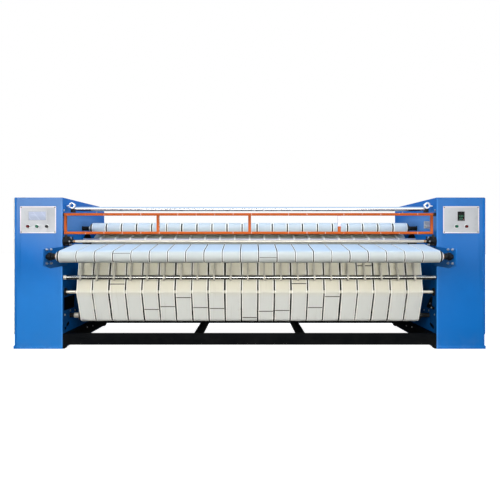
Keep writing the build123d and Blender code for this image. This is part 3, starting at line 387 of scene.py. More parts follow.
def cloth(name, shade, cool, top, width, hem_width, selvage, weave, stain, relief, deep_shade_zone, sky_lit_heights):
    """Belt cloth that follows each belt: weave, long creases, pale selvages and a stitch line beside them,
    with painted light from 0.62 m up, a painted sky tint high up, painted shade in the creases and dark brown
    painted shade deep inside.

    cool, top and width name settings, top being the painted sky tint; the second last gives the depths and
    heights that get the dark painted shade, the last the heights of the painted sky tint."""
    colours = bpy.context.scene.ironer_colours
    cool, top, stain = getattr(colours, cool), getattr(colours, top), srgb(*stain)
    hem_start = getattr(bpy.context.scene.ironer_sizes, width) / 2 - hem_width
    f = Finish(name, Specular_IOR_Level=0.12)
    along, across, belt = f.attribute("along"), f.attribute("across"), f.attribute("belt")
    side = abs(across)
    own = f.node("ShaderNodeTexWhiteNoise", {"noise_dimensions": "1D"}, {"W": belt * 3.71 + 0.37})
    fibres = f.noise(1.0, 3.0, 0.7, f.point(across * weave, along * weave, belt * 9.1))
    crease = f.noise(1.0, 4.0, 0.6, f.point(across * 55.0, along * 2.3, belt * 7.7))
    broad = f.noise(1.0, 3.0, 0.6, f.point(across * 9.0, along * 3.1, belt * 5.3))
    soil = f.between(f.noise(1.0, 6.0, 0.75, f.point(across * 14.0, along * 9.0, belt * 2.9)), 0.58, 0.82)
    _, back, height = f.axes(f.spot)
    # painted light: the cloth lighter from 0.62 m up, where the feed table shades the front strand
    f.shades(shade, 0.80, 1.0, f.between(height, 0.62, 0.76))
    # a cooler tone below 0.52 m, set by height alone
    f.over(cool, f.between(height, 0.52, 0.42))
    # painted sky light: a bluish tint on the belts high up
    f.over(top, f.between(height, *sky_lit_heights))
    f.over(times(cool, 0.80), (1 - own) * 0.10 + f.between(broad, 0.35, 0.75) * 0.10)
    # soil is dirt; the darker creases are partly dirt and partly painted shade in the folds
    f.over(stain, soil * 0.22 + f.between(crease, 0.58, 0.75) * 0.16)
    hem = f.between(side, hem_start - 0.002, hem_start + 0.001)
    stitch = f.between(abs(side - (hem_start - 0.0035)), 0.0014, 0.0005)
    f.over(srgb(250, 248, 240), hem * selvage)
    f.over(times(stain, 0.8), stitch * 0.35)
    # painted shade: dark brown deep inside the machine and under the press tube
    near, far, low, high = deep_shade_zone
    painted_deep_shade = f.between(back, FRONT + near, FRONT + far) * f.between(height, low, high)
    f.over(srgb(34, 28, 20), painted_deep_shade * 0.85)
    folds = fibres * 0.6 + crease * 0.9 + hem * 0.6 - stitch * 0.5
    return f.wire(Roughness=0.78 + fibres * 0.15, Normal=f.bump(folds, relief, 0.0009))


def cylinder_steel(name, shade):
    """Ground and waxed steel: fine rings, brown wax bands and a few longer streaks round it."""
    f = Finish(name, Metallic=0.12)
    rings = f.noise(1.0, 3.0, 0.6, f.stretched((420.0, 3.0, 3.0)))
    wax = f.between(f.noise(1.0, 5.0, 0.7, f.stretched((7.0, 2.0, 2.0))), 0.40, 0.70)
    f.shades(shade, 0.85, 1.0, rings)
    f.over(srgb(150, 140, 116), wax * 0.35)
    return f.wire(Roughness=0.30 + wax * 0.2 + rings * 0.08, Normal=f.bump(rings, 0.04, 0.0003))


def brushed_plate(name, shade):
    """Brushed stainless: level hairlines, a broad painted shade across, weaker on the right plate, finger
    marks and bright sheared edges.
    """
    f = Finish(name, Metallic=0.22)
    x, _, height = f.axes(f.spot)
    hair = f.noise(1.0, 4.0, 0.7, f.stretched((14.0, 900.0, 900.0)))
    marks = f.between(f.noise(26.0, 5.0, 0.6), 0.50, 0.75)
    # painted shade: a broad diagonal darkening across each plate
    across = f.between(x - x.maths("SIGN", x) * PLATE_X + (height - PLATE_Z) * 0.9, -0.02, 0.26)
    f.shades(shade, 0.92, 1.06, hair)
    f.over(times(shade, 0.60), across * (0.5 - f.between(x, -0.5, 0.5) * 0.28))
    f.over(times(shade, 0.74), marks * 0.25)
    f.over((0.92, 0.92, 0.93), f.attribute("edge") * 0.8)
    return f.wire(Roughness=0.46 + hair * 0.16 + marks * 0.12, Normal=f.bump(hair, 0.05, 0.0003))


def guard_paint(name, shade):
    """Orange guard paint: level scratches, small pale ticks along the bars, undersides darkened as painted
    shade, the lower bar lighter and the top bar darker as painted light, chips.
    """
    f = Finish(name, Specular_IOR_Level=0.06)
    x, _, height = f.axes(f.spot)
    tick = f.between(x.maths("PINGPONG", x - 0.0169, 0.079), 0.0036, 0.0020)
    tick = tick * f.between(f.noise(31.0, 2.0), 0.42, 0.56)
    scratch = f.between(f.noise(1.0, 5.0, 0.75, f.stretched((9.0, 160.0, 160.0))), 0.66, 0.74)
    scraped = f.between(f.noise(1.0, 6.0, 0.8, f.stretched((90.0, 40.0, 9.0))), 0.56, 0.68)
    scraped = scraped * f.between(x, 1.55, 1.57)
    edge = f.attribute("edge") * f.between(f.noise(30.0, 4.0, 0.6), 0.58, 0.70)
    # painted shade: the bars' undersides darkened
    low = f.between(height, 0.986, 0.979) + f.between(height, 1.145, 1.138)
    # painted light: the lower bar lighter and the top bar darker
    f.shades(shade, 1.42, 0.74, f.between(height, 1.00, 1.14))
    f.over(times(shade, 0.72), f.between(f.noise(6.0, 3.0), 0.45, 0.75) * 0.35)
    f.over(times(shade, 0.42), low * 0.6)
    f.over(srgb(226, 176, 146), scratch * 0.4 + edge * 0.3)
    f.over(srgb(236, 222, 212), tick * 0.55 + scraped * 0.7)
    return f.wire(Roughness=0.50 + f.noise(120.0) * 0.1 + tick * 0.15,
                  Normal=f.bump(f.noise(520.0, 2.0) + tick * 0.8 - scratch * 0.6, 0.10, 0.0006))


def glass(name, shade, painted_glow):
    """A display behind glass, off: a soft level shine, smears, slanted painted glints, painted shade on its
    lower edge and a faint painted glow.
    """
    # painted light: a faint glow from a screen that is off
    f = Finish(name, Specular_IOR_Level=0.6, Coat_Roughness=0.08, Emission_Strength=painted_glow)
    x, _, height = f.axes(f.spot)
    smear = f.between(f.noise(18.0, 4.0, 0.6, f.stretched((1.0, 1.0, 4.0), (0.0, 0.5, 0.0))), 0.45, 0.75)
    slant = x + height * 0.8
    # painted shade: the glass darker along its lower edge
    f.shades(shade, 0.86, 1.04, f.between(height, 1.098, 1.150))
    f.over(paler(shade, 0.10), smear * 0.5)
    # painted highlight: slanted glints on the glass
    f.over(paler(shade, 0.22), f.between(slant.maths("PINGPONG", slant, 0.035), 0.006, 0.001) * 0.35)
    return f.wire(Roughness=0.16 + smear * 0.15, Coat_Weight=0.5 + smear * 0.2, Emission_Color=f.tone,
                  Normal=f.bump(smear, 0.02, 0.0002))


def lit(name, shade, strength):
    """A glowing segment of the temperature display."""
    f = Finish(name, Emission_Strength=strength)
    f.shades(shade, 0.9, 1.0, f.noise(400.0))
    return f.wire(Emission_Color=f.tone, Roughness=0.3 + f.noise(300.0) * 0.1)


def floor_paper(name, shade):
    """Matt studio paper."""
    f = Finish(name, Specular_IOR_Level=0.05, Emission_Color=(1.0, 1.0, 1.0, 1.0), Emission_Strength=0.98)
    f.shades(shade, 0.985, 1.0, f.noise(3.0, 4.0))
    return f.wire(Roughness=0.85 + f.noise(40.0) * 0.1, Normal=f.bump(f.noise(220.0), 0.02, 0.0004))


PRIMER = (150, 170, 190)
# which way a metal's lines run
ALONG, ROUND, CAST = (2.0, 190.0, 190.0), (300.0, 2.0, 2.0), (60.0, 60.0, 60.0)

# name: the maker, a shade as a setting's name or as numbers, then the maker's own values in its order
FINISHES = {
    "blue_paint": (painted, "blue", PRIMER, 0.42, 0.6, 0.06, 0.42),
    "cream_paint": (painted, "cream", (150, 148, 140), 0.42, 0.4),
    "black_paint": (painted, "black", (70, 70, 70), 0.6, 0.8, 0.02, 0.0, 0.05),
    "cast_iron": (painted, (26, 27, 29), (120, 120, 118), 0.42, 0.9, 0.1),
    "bracket_blue": (painted, "blue", PRIMER, 0.42, 0.6, 0.0),
    # painted highlight on the walls' front edges
    "blue_edge": (painted, "blue_edge", PRIMER, 0.42, 0.6, 0.25, 0.42),
    "blue_wall": (wall_paint, "wall"),
    "orange_paint": (guard_paint, "orange"),
    "stainless": (brushed_plate, "stainless"),
    "cylinder_steel": (cylinder_steel, "cylinder"),
    "studio_floor": (floor_paper, "floor"),
    "polished_steel": (metal, "tube", 0.06, ALONG, 0.10, 0.006),
    "dull_tube": (metal, (168, 168, 163), 0.13, ALONG, 0.12, 0.01, 0.95),
    "bend_tube": (metal, (232, 226, 208), 0.24, ALONG, 0.15, 0.01, 0.5),
    "press_tube": (metal, (214, 206, 190), 0.24, ALONG, 0.20, 0.01, 0.4),
    "pale_shaft": (metal, (216, 215, 230), 0.34, ALONG, 0.15, 0.01, 0.3),
    "turned_steel": (metal, (150, 150, 150), 0.30, ROUND, 0.5, 0.12),
    # painted shade: dark steel on the rolls, so the gaps between the belts read dark
    "dark_roll": (metal, (44, 42, 38), 0.50, ROUND, 0.4, 0.10, 0.5),
    "copper": (metal, "copper", 0.28, (260.0, 3.0, 3.0), 0.4, 0.08),
    "bright_hub": (metal, (226, 221, 206), 0.30, (200.0, 4.0, 4.0), 0.2, 0.06, 0.5),
    "zinc": (metal, (196, 198, 202), 0.26, CAST, 0.35, 0.08),
    "plate_rim": (metal, (236, 226, 224), 0.42, CAST, 0.12, 0.02, 0.2),
    "plate_screw": (metal, (92, 76, 66), 0.34, CAST, 0.35, 0.05, 0.6),
    "bright_ring": (metal, (240, 240, 238), 0.26, CAST, 0.12, 0.04, 0.3),
    # the last two of a cloth: where deep shade is painted, and the heights with the painted sky tint
    "felt": (cloth, "felt", "felt_cool", "felt_top", "ironing_width", 0.0085, 0.85, 620.0,
             (168, 158, 130), 0.40, (0.26, 0.31, 0.83, 0.77), (0.86, 0.98)),
    "canvas": (cloth, "canvas", "canvas", "canvas_top", "feed_width", 0.006, 0.45, 950.0,
               (176, 182, 186), 0.22, (0.002, 0.028, 0.80, 0.90), (0.825, 0.848)),
    "tape": (cloth, "tape", "tape", "tape", "tape_width", 0.0015, 0.2, 1200.0,
             (170, 160, 140), 0.30, (0.50, 0.60, 0.0, 1.0), (0.86, 0.98)),
    "white_tape": (plastic, (232, 224, 236), 0.5, 300.0, 0.3),
    "seam": (plastic, (78, 72, 60), 0.6),
    "white_plastic": (plastic, "nylon", 0.40),
    "black_plastic": (plastic, (20, 20, 22), 0.32),
    "display_black": (plastic, (6, 6, 8), 0.30, 900.0, 0.05, 0.15),
    "grey_plastic": (plastic, (172, 174, 177), 0.40),
    "red_plastic": (plastic, "red", 0.22),
    "green_plastic": (plastic, "green", 0.22),
    # the last value: a faint painted glow
    "screen": (glass, "screen", 0.05),
    "green_digit": (lit, (34, 112, 78), 0.9),
    "red_digit": (lit, (214, 48, 44), 1.0),
}
made_finishes = {}


def finish(name):
    """The named finish, made the first time it is asked for."""
    if name not in made_finishes:
        maker, shade, *values = FINISHES[name]
        if isinstance(shade, str):
            shade = getattr(bpy.context.scene.ironer_colours, shade)
        else:
            shade = srgb(*shade)
        made_finishes[name] = maker(name, shade, *values)
    return made_finishes[name]


# ---- meshes ----


def place(depth, height):
    """A (depth, height) pair as Y and Z."""
    return FRONT + depth, height


def to_mesh(bm, name, smooth=28.0):
    """Ends a bmesh: soft shading except where faces meet sharply."""
    mesh = bpy.data.meshes.new(name)
    bm.to_mesh(mesh)
    bm.free()
    mesh.shade_smooth()
    mesh.set_sharp_from_angle(angle=math.radians(smooth))
    return mesh


def round_edges(bm, width):
    """Bevels the sharp edges and marks the new faces in the attribute that the wear reads."""
    edges = [e for e in bm.edges if e.is_manifold and e.calc_face_angle(0) > math.radians(30)]
    layer = bm.faces.layers.float.get("edge") or bm.faces.layers.float.new("edge")
    if edges and width:
        made = bmesh.ops.bevel(bm, geom=edges, offset=width, segments=2, profile=0.6, affect="EDGES",
                               clamp_overlap=True)
        for face in made["faces"]:
            face[layer] = 1.0


def cad_copy(name):
    """A copy of a CAD node as a clean bmesh: loose triangles merged and flat faces made whole."""
    bm = bmesh.new()
    bm.from_mesh(frame["nodes"][name].data)
    for layer in list(bm.loops.layers.uv):
        bm.loops.layers.uv.remove(layer)
    bmesh.ops.remove_doubles(bm, verts=bm.verts, dist=2e-5)
    bmesh.ops.dissolve_limit(bm, angle_limit=math.radians(0.6), verts=bm.verts, edges=bm.edges,
                             delimit={"NORMAL"})
    return bm


def turned(profile, axis=(0.0, 0.0), around=48, along_y=False):
    """A turned part: (place along the axis, radius) points spun round an axis at the other two places."""
    bm = bmesh.new()
    bm.faces.layers.float.new("edge")
    rings = []
    for far, radius in profile:
        ring = []
        for i in range(around if radius > 0 else 1):
            angle = 2 * math.pi * i / around
            u, v = axis[0] + radius * math.cos(angle), axis[1] + radius * math.sin(angle)
            ring.append(bm.verts.new((u, far, v) if along_y else (far, u, v)))
        rings.append(ring)
    for first, second in zip(rings, rings[1:]):
        for i in range(around):
            corners = [first[i % len(first)], first[(i + 1) % len(first)],
                       second[(i + 1) % len(second)], second[i % len(second)]]
            bm.faces.new(list(dict.fromkeys(corners)))
    for ring in (rings[0], rings[-1]):
        if len(ring) > 1:
            bm.faces.new(ring)
    bmesh.ops.recalc_face_normals(bm, faces=bm.faces)
    return bm


def both_ends(half_profile):
    """A profile from its right half: (distance from the middle, radius) points outwards."""
    return [(-x, r) for x, r in reversed(half_profile)] + list(half_profile)


def box(low, high, width=0.0):
    """A box between two corners, its edges rounded."""
    bm = bmesh.new()
    bmesh.ops.create_cube(bm, size=1.0)
    for vert in bm.verts:
        vert.co = [(a + b) / 2 + c * (b - a) for a, b, c in zip(low, high, vert.co)]
    round_edges(bm, width)
    return bm


def add(bm, *others):
    """Puts other bmeshes into the first, which is given back."""
    for other in others:
        mesh = bpy.data.meshes.new("part")
        other.to_mesh(mesh)
        other.free()
        bm.from_mesh(mesh)
        bpy.data.meshes.remove(mesh)
    return bm


def paint_faces(bm, index, start=0):
    """Gives the faces from a place in the list on to another material slot."""
    for face in list(bm.faces)[start:]:
        face.material_index = index


def sleeves(bm, profile, axis, index):
    """Adds a turned sleeve at each end, in another material slot; its profile is the right one's."""
    start = len(bm.faces)
    for side in SIDES:
        add(bm, turned([(side * x, radius) for x, radius in profile], axis))
    paint_faces(bm, index, start)


def new_object(name, data):
    """An object in the scene."""
    made = bpy.data.objects.new(name, data)
    bpy.context.scene.collection.objects.link(made)
    return made


def new_piece(name, shape, slot, body, nodes=(), finish_names=None, smooth=28.0):
    """Ends a mesh or bmesh as a piece: its materials, by default the slot's finish, the body it rides, and the
    CAD nodes it stands for hidden.
    """
    mesh = to_mesh(shape, name, smooth) if isinstance(shape, bmesh.types.BMesh) else shape
    if not mesh.materials:
        for finish_name in finish_names or [slot]:
            mesh.materials.append(finish(finish_name))
    piece = new_object(name, mesh)
    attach(piece, body)
    if nodes:
        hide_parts(*nodes)
    return piece


def stand_in(node, shape, slot, finish_names=None):
    """A piece in the place of one CAD node, on its body."""
    new_piece(node + "_look", shape, slot, frame["nodes"][node]["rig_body"], [node], finish_names)


def dressed(node, slot, width, finish_names=None, kind=None):
    """A CAD node's own shape with rounded edges. kind: which of the finishes a face gets."""
    bm = cad_copy(node)
    round_edges(bm, width)
    if kind:
        for face in bm.faces:
            face.material_index = kind(face)
    stand_in(node, bm, slot, finish_names)


# ---- geometry recipes ----


class Recipe(Tree):
    """A Geometry Nodes tree with named inputs that ends in realised, painted geometry."""

    def __init__(self, name, **inputs):
        super().__init__(bpy.data.node_groups.new(name, "GeometryNodeTree"))
        self.tree.interface.new_socket("Geometry", in_out="INPUT", socket_type="NodeSocketGeometry")
        for socket, kind in inputs.items():
            self.tree.interface.new_socket(socket, in_out="INPUT", socket_type="NodeSocket" + kind)
        self.tree.interface.new_socket("Geometry", in_out="OUTPUT", socket_type="NodeSocketGeometry")
        self.given = self.tree.nodes.new("NodeGroupInput")

    def __getitem__(self, name):
        """The input of that name."""
        return Value(self, self.given.outputs[name])

    def here(self):
        """Each point's X, Y and Z."""
        return self.axes(self.node("GeometryNodeInputPosition"))

    def row(self, instance, start):
        """Count copies along X, Pitch apart."""
        line = self.node("GeometryNodeMeshLine", inputs={
            "Count": self["Count"], "Start Location": start, "Offset": self.point(self["Pitch"])})
        return self.node("GeometryNodeInstanceOnPoints", inputs={"Points": line, "Instance": instance})

    def store(self, geometry, name, value, domain="POINT"):
        return self.node("GeometryNodeStoreNamedAttribute", {"data_type": "FLOAT", "domain": domain},
                         {"Geometry": geometry, "Name": name, "Value": value})

    def named(self, name, kind="FLOAT"):
        return self.node("GeometryNodeInputNamedAttribute", {"data_type": kind}, {"Name": name})

    def finish(self, geometry):
        real = self.node("GeometryNodeRealizeInstances", inputs={"Geometry": geometry})
        shown = self.node("GeometryNodeSetMaterial", inputs={"Geometry": real, "Material": self["Material"]})
        output = self.tree.nodes.new("NodeGroupOutput")
        self.tree.links.new(shown.socket, output.inputs["Geometry"])
        return self.tree


def run(recipe, base, **values):
    """Runs a recipe on a base mesh and returns the plain mesh that comes out."""
    holder = new_object("recipe_base", base)
    modifier = holder.modifiers.new("recipe", "NODES")
    modifier.node_group = recipe
    sockets = {i.name: i.identifier for i in recipe.interface.items_tree if i.in_out == "INPUT"}
    for name, value in values.items():
        modifier[sockets[name]] = value
    graph = bpy.context.evaluated_depsgraph_get()
    made = bpy.data.meshes.new_from_object(holder.evaluated_get(graph))
    bpy.data.objects.remove(holder)
    return made


def band_recipe():
    """Endless bands side by side: a path swept to a cloth band, copied across the machine and let drift."""
    r = Recipe("endless_bands", Count="Int", Pitch="Float", Width="Float", Thickness="Float", Shift="Float",
               Drift="Float", Seed="Float", Material="Material")
    curve = r.node("GeometryNodeMeshToCurve", inputs={"Mesh": r["Geometry"]})
    curve = r.node("GeometryNodeSetCurveNormal", {"mode": "Z_UP"}, {"Curve": curve})
    curve = r.store(curve, "along", r.node("GeometryNodeSplineParameter", output="Length"))
    section = r.node("GeometryNodeCurvePrimitiveQuadrilateral",
                     inputs={"Width": r["Thickness"], "Height": r["Width"]})
    section = r.node("GeometryNodeFilletCurve", {"mode": "POLY"},
                     {"Curve": section, "Count": 2, "Radius": r["Thickness"] * 0.3})
    x, y, z = r.here()
    section = r.store(section, "across", y)
    band = r.node("GeometryNodeCurveToMesh", inputs={"Curve": curve, "Profile Curve": section})
    band = r.node("GeometryNodeSetPosition", inputs={"Geometry": band, "Position": r.point(z, x, y)})
    first = (r["Count"] - 1) * r["Pitch"] * -0.5 + r["Shift"]
    bands = r.row(band, r.point(first))
    bands = r.store(bands, "belt", r.node("GeometryNodeInputIndex"), "INSTANCE")
    bands = r.node("GeometryNodeRealizeInstances", inputs={"Geometry": bands})
    where = r.point(r.named("belt") * 4.37 + r["Seed"], y * 1.4, z * 1.4)
    wander = r.node("ShaderNodeTexNoise", inputs={"Vector": where, "Scale": 1.0, "Detail": 1.0})
    offset = r.point((wander - 0.5) * 4.0 * r["Drift"])
    bands = r.node("GeometryNodeSetPosition", inputs={"Geometry": bands, "Offset": offset})
    return r.finish(bands)


def fitting_recipe():
    """Copies of one fitting on points; a point's aim turns its copy, and a seeded spin loosens the row."""
    r = Recipe("fittings", Fitting="Object", Spin="Float", Seed="Int", Material="Material")
    fitting = r.node("GeometryNodeObjectInfo", inputs={"Object": r["Fitting"]}, output="Geometry")
    points = r.node("GeometryNodeMeshToPoints", inputs={"Mesh": r["Geometry"]})
    spin = r.node("FunctionNodeRandomValue", {"data_type": "FLOAT"}, {"Seed": r["Seed"]}, output=1)
    own = r.node("FunctionNodeEulerToRotation", inputs={"Euler": r.point((spin - 0.5) * 2.0 * r["Spin"])})
    aim = r.node("FunctionNodeEulerToRotation", inputs={"Euler": r.named("aim", "FLOAT_VECTOR")})
    both = r.node("FunctionNodeRotateRotation", {"rotation_space": "LOCAL"},
                  {"Rotation": aim, "Rotate By": own})
    return r.finish(r.node("GeometryNodeInstanceOnPoints", inputs={
        "Points": points, "Instance": fitting, "Rotation": both}))


def rib_recipe():
    """Rings in a row along X, for the ribbed shaft ends."""
    r = Recipe("ribs", Start="Float", Pitch="Float", Count="Int", Radius="Float", Thickness="Float",
               Depth="Float", Height="Float", Material="Material")
    circle = r.node("GeometryNodeCurvePrimitiveCircle", inputs={"Resolution": 28, "Radius": r["Radius"]})
    section = r.node("GeometryNodeCurvePrimitiveCircle", inputs={"Resolution": 8, "Radius": r["Thickness"]})
    ring = r.node("GeometryNodeCurveToMesh", inputs={"Curve": circle, "Profile Curve": section})
    ring = r.node("GeometryNodeTransform", inputs={
        "Geometry": ring, "Rotation": (0.0, math.radians(90), 0.0)})
    return r.finish(r.row(ring, r.point(r["Start"], r["Depth"], r["Height"])))


recipes = {}


def recipe(maker):
    """A recipe, built the first time it is asked for."""
    if maker.__name__ not in recipes:
        recipes[maker.__name__] = maker()
    return recipes[maker.__name__]


def repeated(template, places, slot, spin=0.0, seed=7):
    """A mesh with a copy of a bmesh at each (position, turn) place."""
    fitting = new_object("fitting", to_mesh(template, "fitting"))
    fitting.hide_render = True
    base = bpy.data.meshes.new("places")
    base.from_pydata([p for p, _ in places], [], [])
    aims = base.attributes.new("aim", "FLOAT_VECTOR", "POINT")
    for i, (_, aim) in enumerate(places):
        aims.data[i].vector = aim
    made = run(recipe(fitting_recipe), base, Fitting=fitting, Spin=spin, Seed=seed, Material=finish(slot))
    bpy.data.objects.remove(fitting)
    return made


# ---- band paths ----


def tangent(first, second):
    """The straight run between two circles (depth, height, signed radius), + turning left."""
    (d1, h1, r1), (d2, h2, r2) = first, second
    distance = math.hypot(d2 - d1, h2 - h1)
    heading = math.atan2(h2 - h1, d2 - d1) + math.asin((r1 - r2) / distance)
    left = (-math.sin(heading), math.cos(heading))
    return (d1 - r1 * left[0], h1 - r1 * left[1]), (d2 - r2 * left[0], h2 - r2 * left[1])


def band_path(wheels, thickness, step=0.07, bend=7.5):
    """Points (depth, height) along the middle of an endless band's thickness, from after its first wheel."""
    reach = CLEAR + thickness / 2
    circles = [(axis[0], axis[1], (r + reach) if inside else -(r + reach)) for axis, r, inside in wheels]
    count = len(circles)
    runs = [tangent(circles[i], circles[(i + 1) % count]) for i in range(count)]
    points = []
    for i in range(count):
        start, end = runs[i]
        parts = max(1, round(math.dist(start, end) / step))
        points += [(start[0] + (end[0] - start[0]) * k / parts, start[1] + (end[1] - start[1]) * k / parts)
                   for k in range(parts)]
        depth, height, radius = circles[(i + 1) % count]
        leave = runs[(i + 1) % count][0]
        sign = 1 if radius > 0 else -1
        a0 = math.atan2(end[1] - height, end[0] - depth)
        turn = ((math.atan2(leave[1] - height, leave[0] - depth) - a0) * sign) % (2 * math.pi)
        parts = max(2, math.ceil(math.degrees(turn) / (bend if abs(radius) < 0.2 else 3.0)))
        points += [(depth + abs(radius) * math.cos(a0 + sign * turn * k / parts),
                    height + abs(radius) * math.sin(a0 + sign * turn * k / parts)) for k in range(parts)]
    return points


def path_mesh(points):
    """A closed line in Blender's XY plane, which the band recipe turns up into the machine's side view."""
    mesh = bpy.data.meshes.new("path")
    count = len(points)
    mesh.from_pydata([(FRONT + d, h, 0.0) for d, h in points],
                     [(i, (i + 1) % count) for i in range(count)], [])
    return mesh


def seam_places(points, seams, count, pitch, hidden):
    """Where each belt's seam lies: at a height on the front strand, or at a seeded length on a hidden one."""
    dice = random.Random(11)
    steps = list(zip(points, points[1:] + points[:1]))
    places = []
    for belt in range(count):
        if belt in seams:
            level = seams[belt]
            crossing = [(p, q) for p, q in steps if (p[1] - level) * (q[1] - level) <= 0 and p[1] != q[1]]
            start, end = min(crossing, key=lambda step: step[0][0])
            share = (level - start[1]) / (end[1] - start[1])
        else:
            left = dice.uniform(*hidden)
            for start, end in steps:
                if left <= math.dist(start, end):
                    break
                left -= math.dist(start, end)
            share = left / math.dist(start, end)
        x = (belt - (count - 1) / 2) * pitch
        y, z = place(start[0] + (end[0] - start[0]) * share, start[1] + (end[1] - start[1]) * share)
        places.append(((x, y, z), (math.atan2(end[1] - start[1], end[0] - start[0]), 0.0, 0.0)))
    return places


def endless(s, name, node, slot, wheels, width, thickness, drift, seed, shift=0.0, **path):
    """The belts or tapes that run over a set of wheels, and the path along them."""
    points = band_path(wheels, thickness, **path)
    bands = run(recipe(band_recipe), path_mesh(points), Count=s.belt_count, Pitch=s.belt_pitch, Width=width,
                Thickness=thickness, Shift=shift, Drift=s.drift * drift, Seed=seed, Material=finish(slot))
    return new_piece(name, bands, slot, "frame", [node]), points


def lacing(s, name, slot, points, size, rounding, seams, hidden):
    """The seam across each belt of a set."""
    corner = [side / 2 for side in size]
    places = seam_places(points, seams, s.belt_count, s.belt_pitch, hidden)
    bars = repeated(box([-c for c in corner], corner, rounding), places, "seam")
    new_piece(name, bars, slot, "frame", finish_names=["seam"])


# ---- pieces ----


class Piece(bpy.types.Operator):
    """Common ground of the piece operators"""

    bl_options = {"REGISTER", "UNDO"}

    def execute(self, context):
        self.make(context.scene.ironer_sizes)
        return {"FINISHED"}


class IRONER_OT_cabinets(Piece):
    """Folded blue cabinets with their thick walls and fittings, service covers, plinths and catches"""

    bl_idname = "ironer.cabinets"
    bl_label = "Cabinets"

    def make(self, s):
        self.walls(s)
        for node, slot in (("cabinet_shells", "blue_paint"), ("service_cover_left", "cream_paint"),
                           ("service_cover_right", "blue_paint"), ("plinths", "blue_paint"),
                           ("cover_locks", "zinc"), ("wall_fittings", "black_paint")):
            dressed(node, slot, s.sheet_edge)

    def walls(self, s):
        """The walls' front edges get a lighter blue as a painted highlight, and the cut edges of their
        openings are painted black as painted shade.
        """

        def kind(face):
            middle = face.calc_center_median()
            # painted highlight: the front edges get the lighter blue
            if middle.y < FRONT + 0.006 and face.normal.y < -0.3:
                return 1
            inside = (0.008 < middle.y - FRONT < CABINET_DEPTH - 0.010
                      and 0.010 < middle.z < CABINET_HEIGHT - 0.012)
            # painted shade: the openings' cut edges in black paint
            return 2 if inside and abs(face.normal.x) < 0.5 else 0

        dressed("side_walls", "blue_paint", s.sheet_edge, ["blue_wall", "blue_edge", "black_paint"], kind)


class IRONER_OT_floor_frame(Piece):
    """Black box-section beams, the slim middle beams and the feet"""

    bl_idname = "ironer.floor_frame"
    bl_label = "Floor frame"

    def make(self, s):
        for node in ("cross_beams", "floor_beams", "feet"):
            dressed(node, "black_paint", s.casting_edge)


class IRONER_OT_ironing_belts(Piece):
    """Felt belts round the rolls and the cylinder, each with its lacing"""

    bl_idname = "ironer.ironing_belts"
    bl_label = "Ironing belts"

    def make(self, s):
        belts, points = endless(s, "felt_belts", "ironing_belts", "felt", IRONING_WHEELS,
                                s.ironing_width, s.felt, 1.0, 3.0)
        lacing(s, "belt_lacing", "felt", points, (s.ironing_width - 0.006, s.seam, s.felt + 0.0016), 0.0006,
               FRONT_SEAMS, (1.0, 2.5))


class IRONER_OT_feed_belts(Piece):
    """Canvas belts of the feeding table"""

    bl_idname = "ironer.feed_belts"
    bl_label = "Feeding belts"

    def make(self, s):
        belts, points = endless(s, "canvas_belts", "feed_belts", "canvas", FEED_WHEELS,
                                s.feed_width, s.canvas, 0.6, 21.0, bend=5.0)
        lacing(s, "canvas_lacing", "canvas", points, (s.feed_width - 0.004, 0.004, s.canvas + 0.0012), 0.0004,
               FEED_SEAMS, (0.05, 0.30))


class IRONER_OT_transfer_tapes(Piece):
    """Narrow tapes between the lower tube and the upper bar"""

    bl_idname = "ironer.transfer_tapes"
    bl_label = "Transfer tapes"

    def make(self, s):
        tapes, _ = endless(s, "tapes", "transfer_tapes", "tape", TAPE_WHEELS,
                           s.tape_width, s.tape, 0.7, 33.0, -s.tape_shift, step=0.03)


class IRONER_OT_stripper_fingers(Piece):
    """White nylon fingers clamped on their shaft behind the nip"""

    bl_idname = "ironer.stripper_fingers"
    bl_label = "Stripper fingers"

    def make(self, s):
        dressed("stripper_fingers", "white_plastic", 0.001)
        dressed("stripper_shaft", "turned_steel", 0.001, ["pale_shaft"])


def roll_half(half, steps):
    """Right half of a roll's profile: a chamfered shell, a recessed end plate and stepped journals."""
    near = half - 0.006
    profile = [(half - 0.002, ROLL), (half, ROLL - 0.002), (half, ROLL - 0.006), (near, ROLL - 0.007)]
    for step, far in steps:
        profile += [(near, step), (far - 0.0012, step), (far, step - 0.0012)]
        near = far
    return profile + [(near, 0.0)]


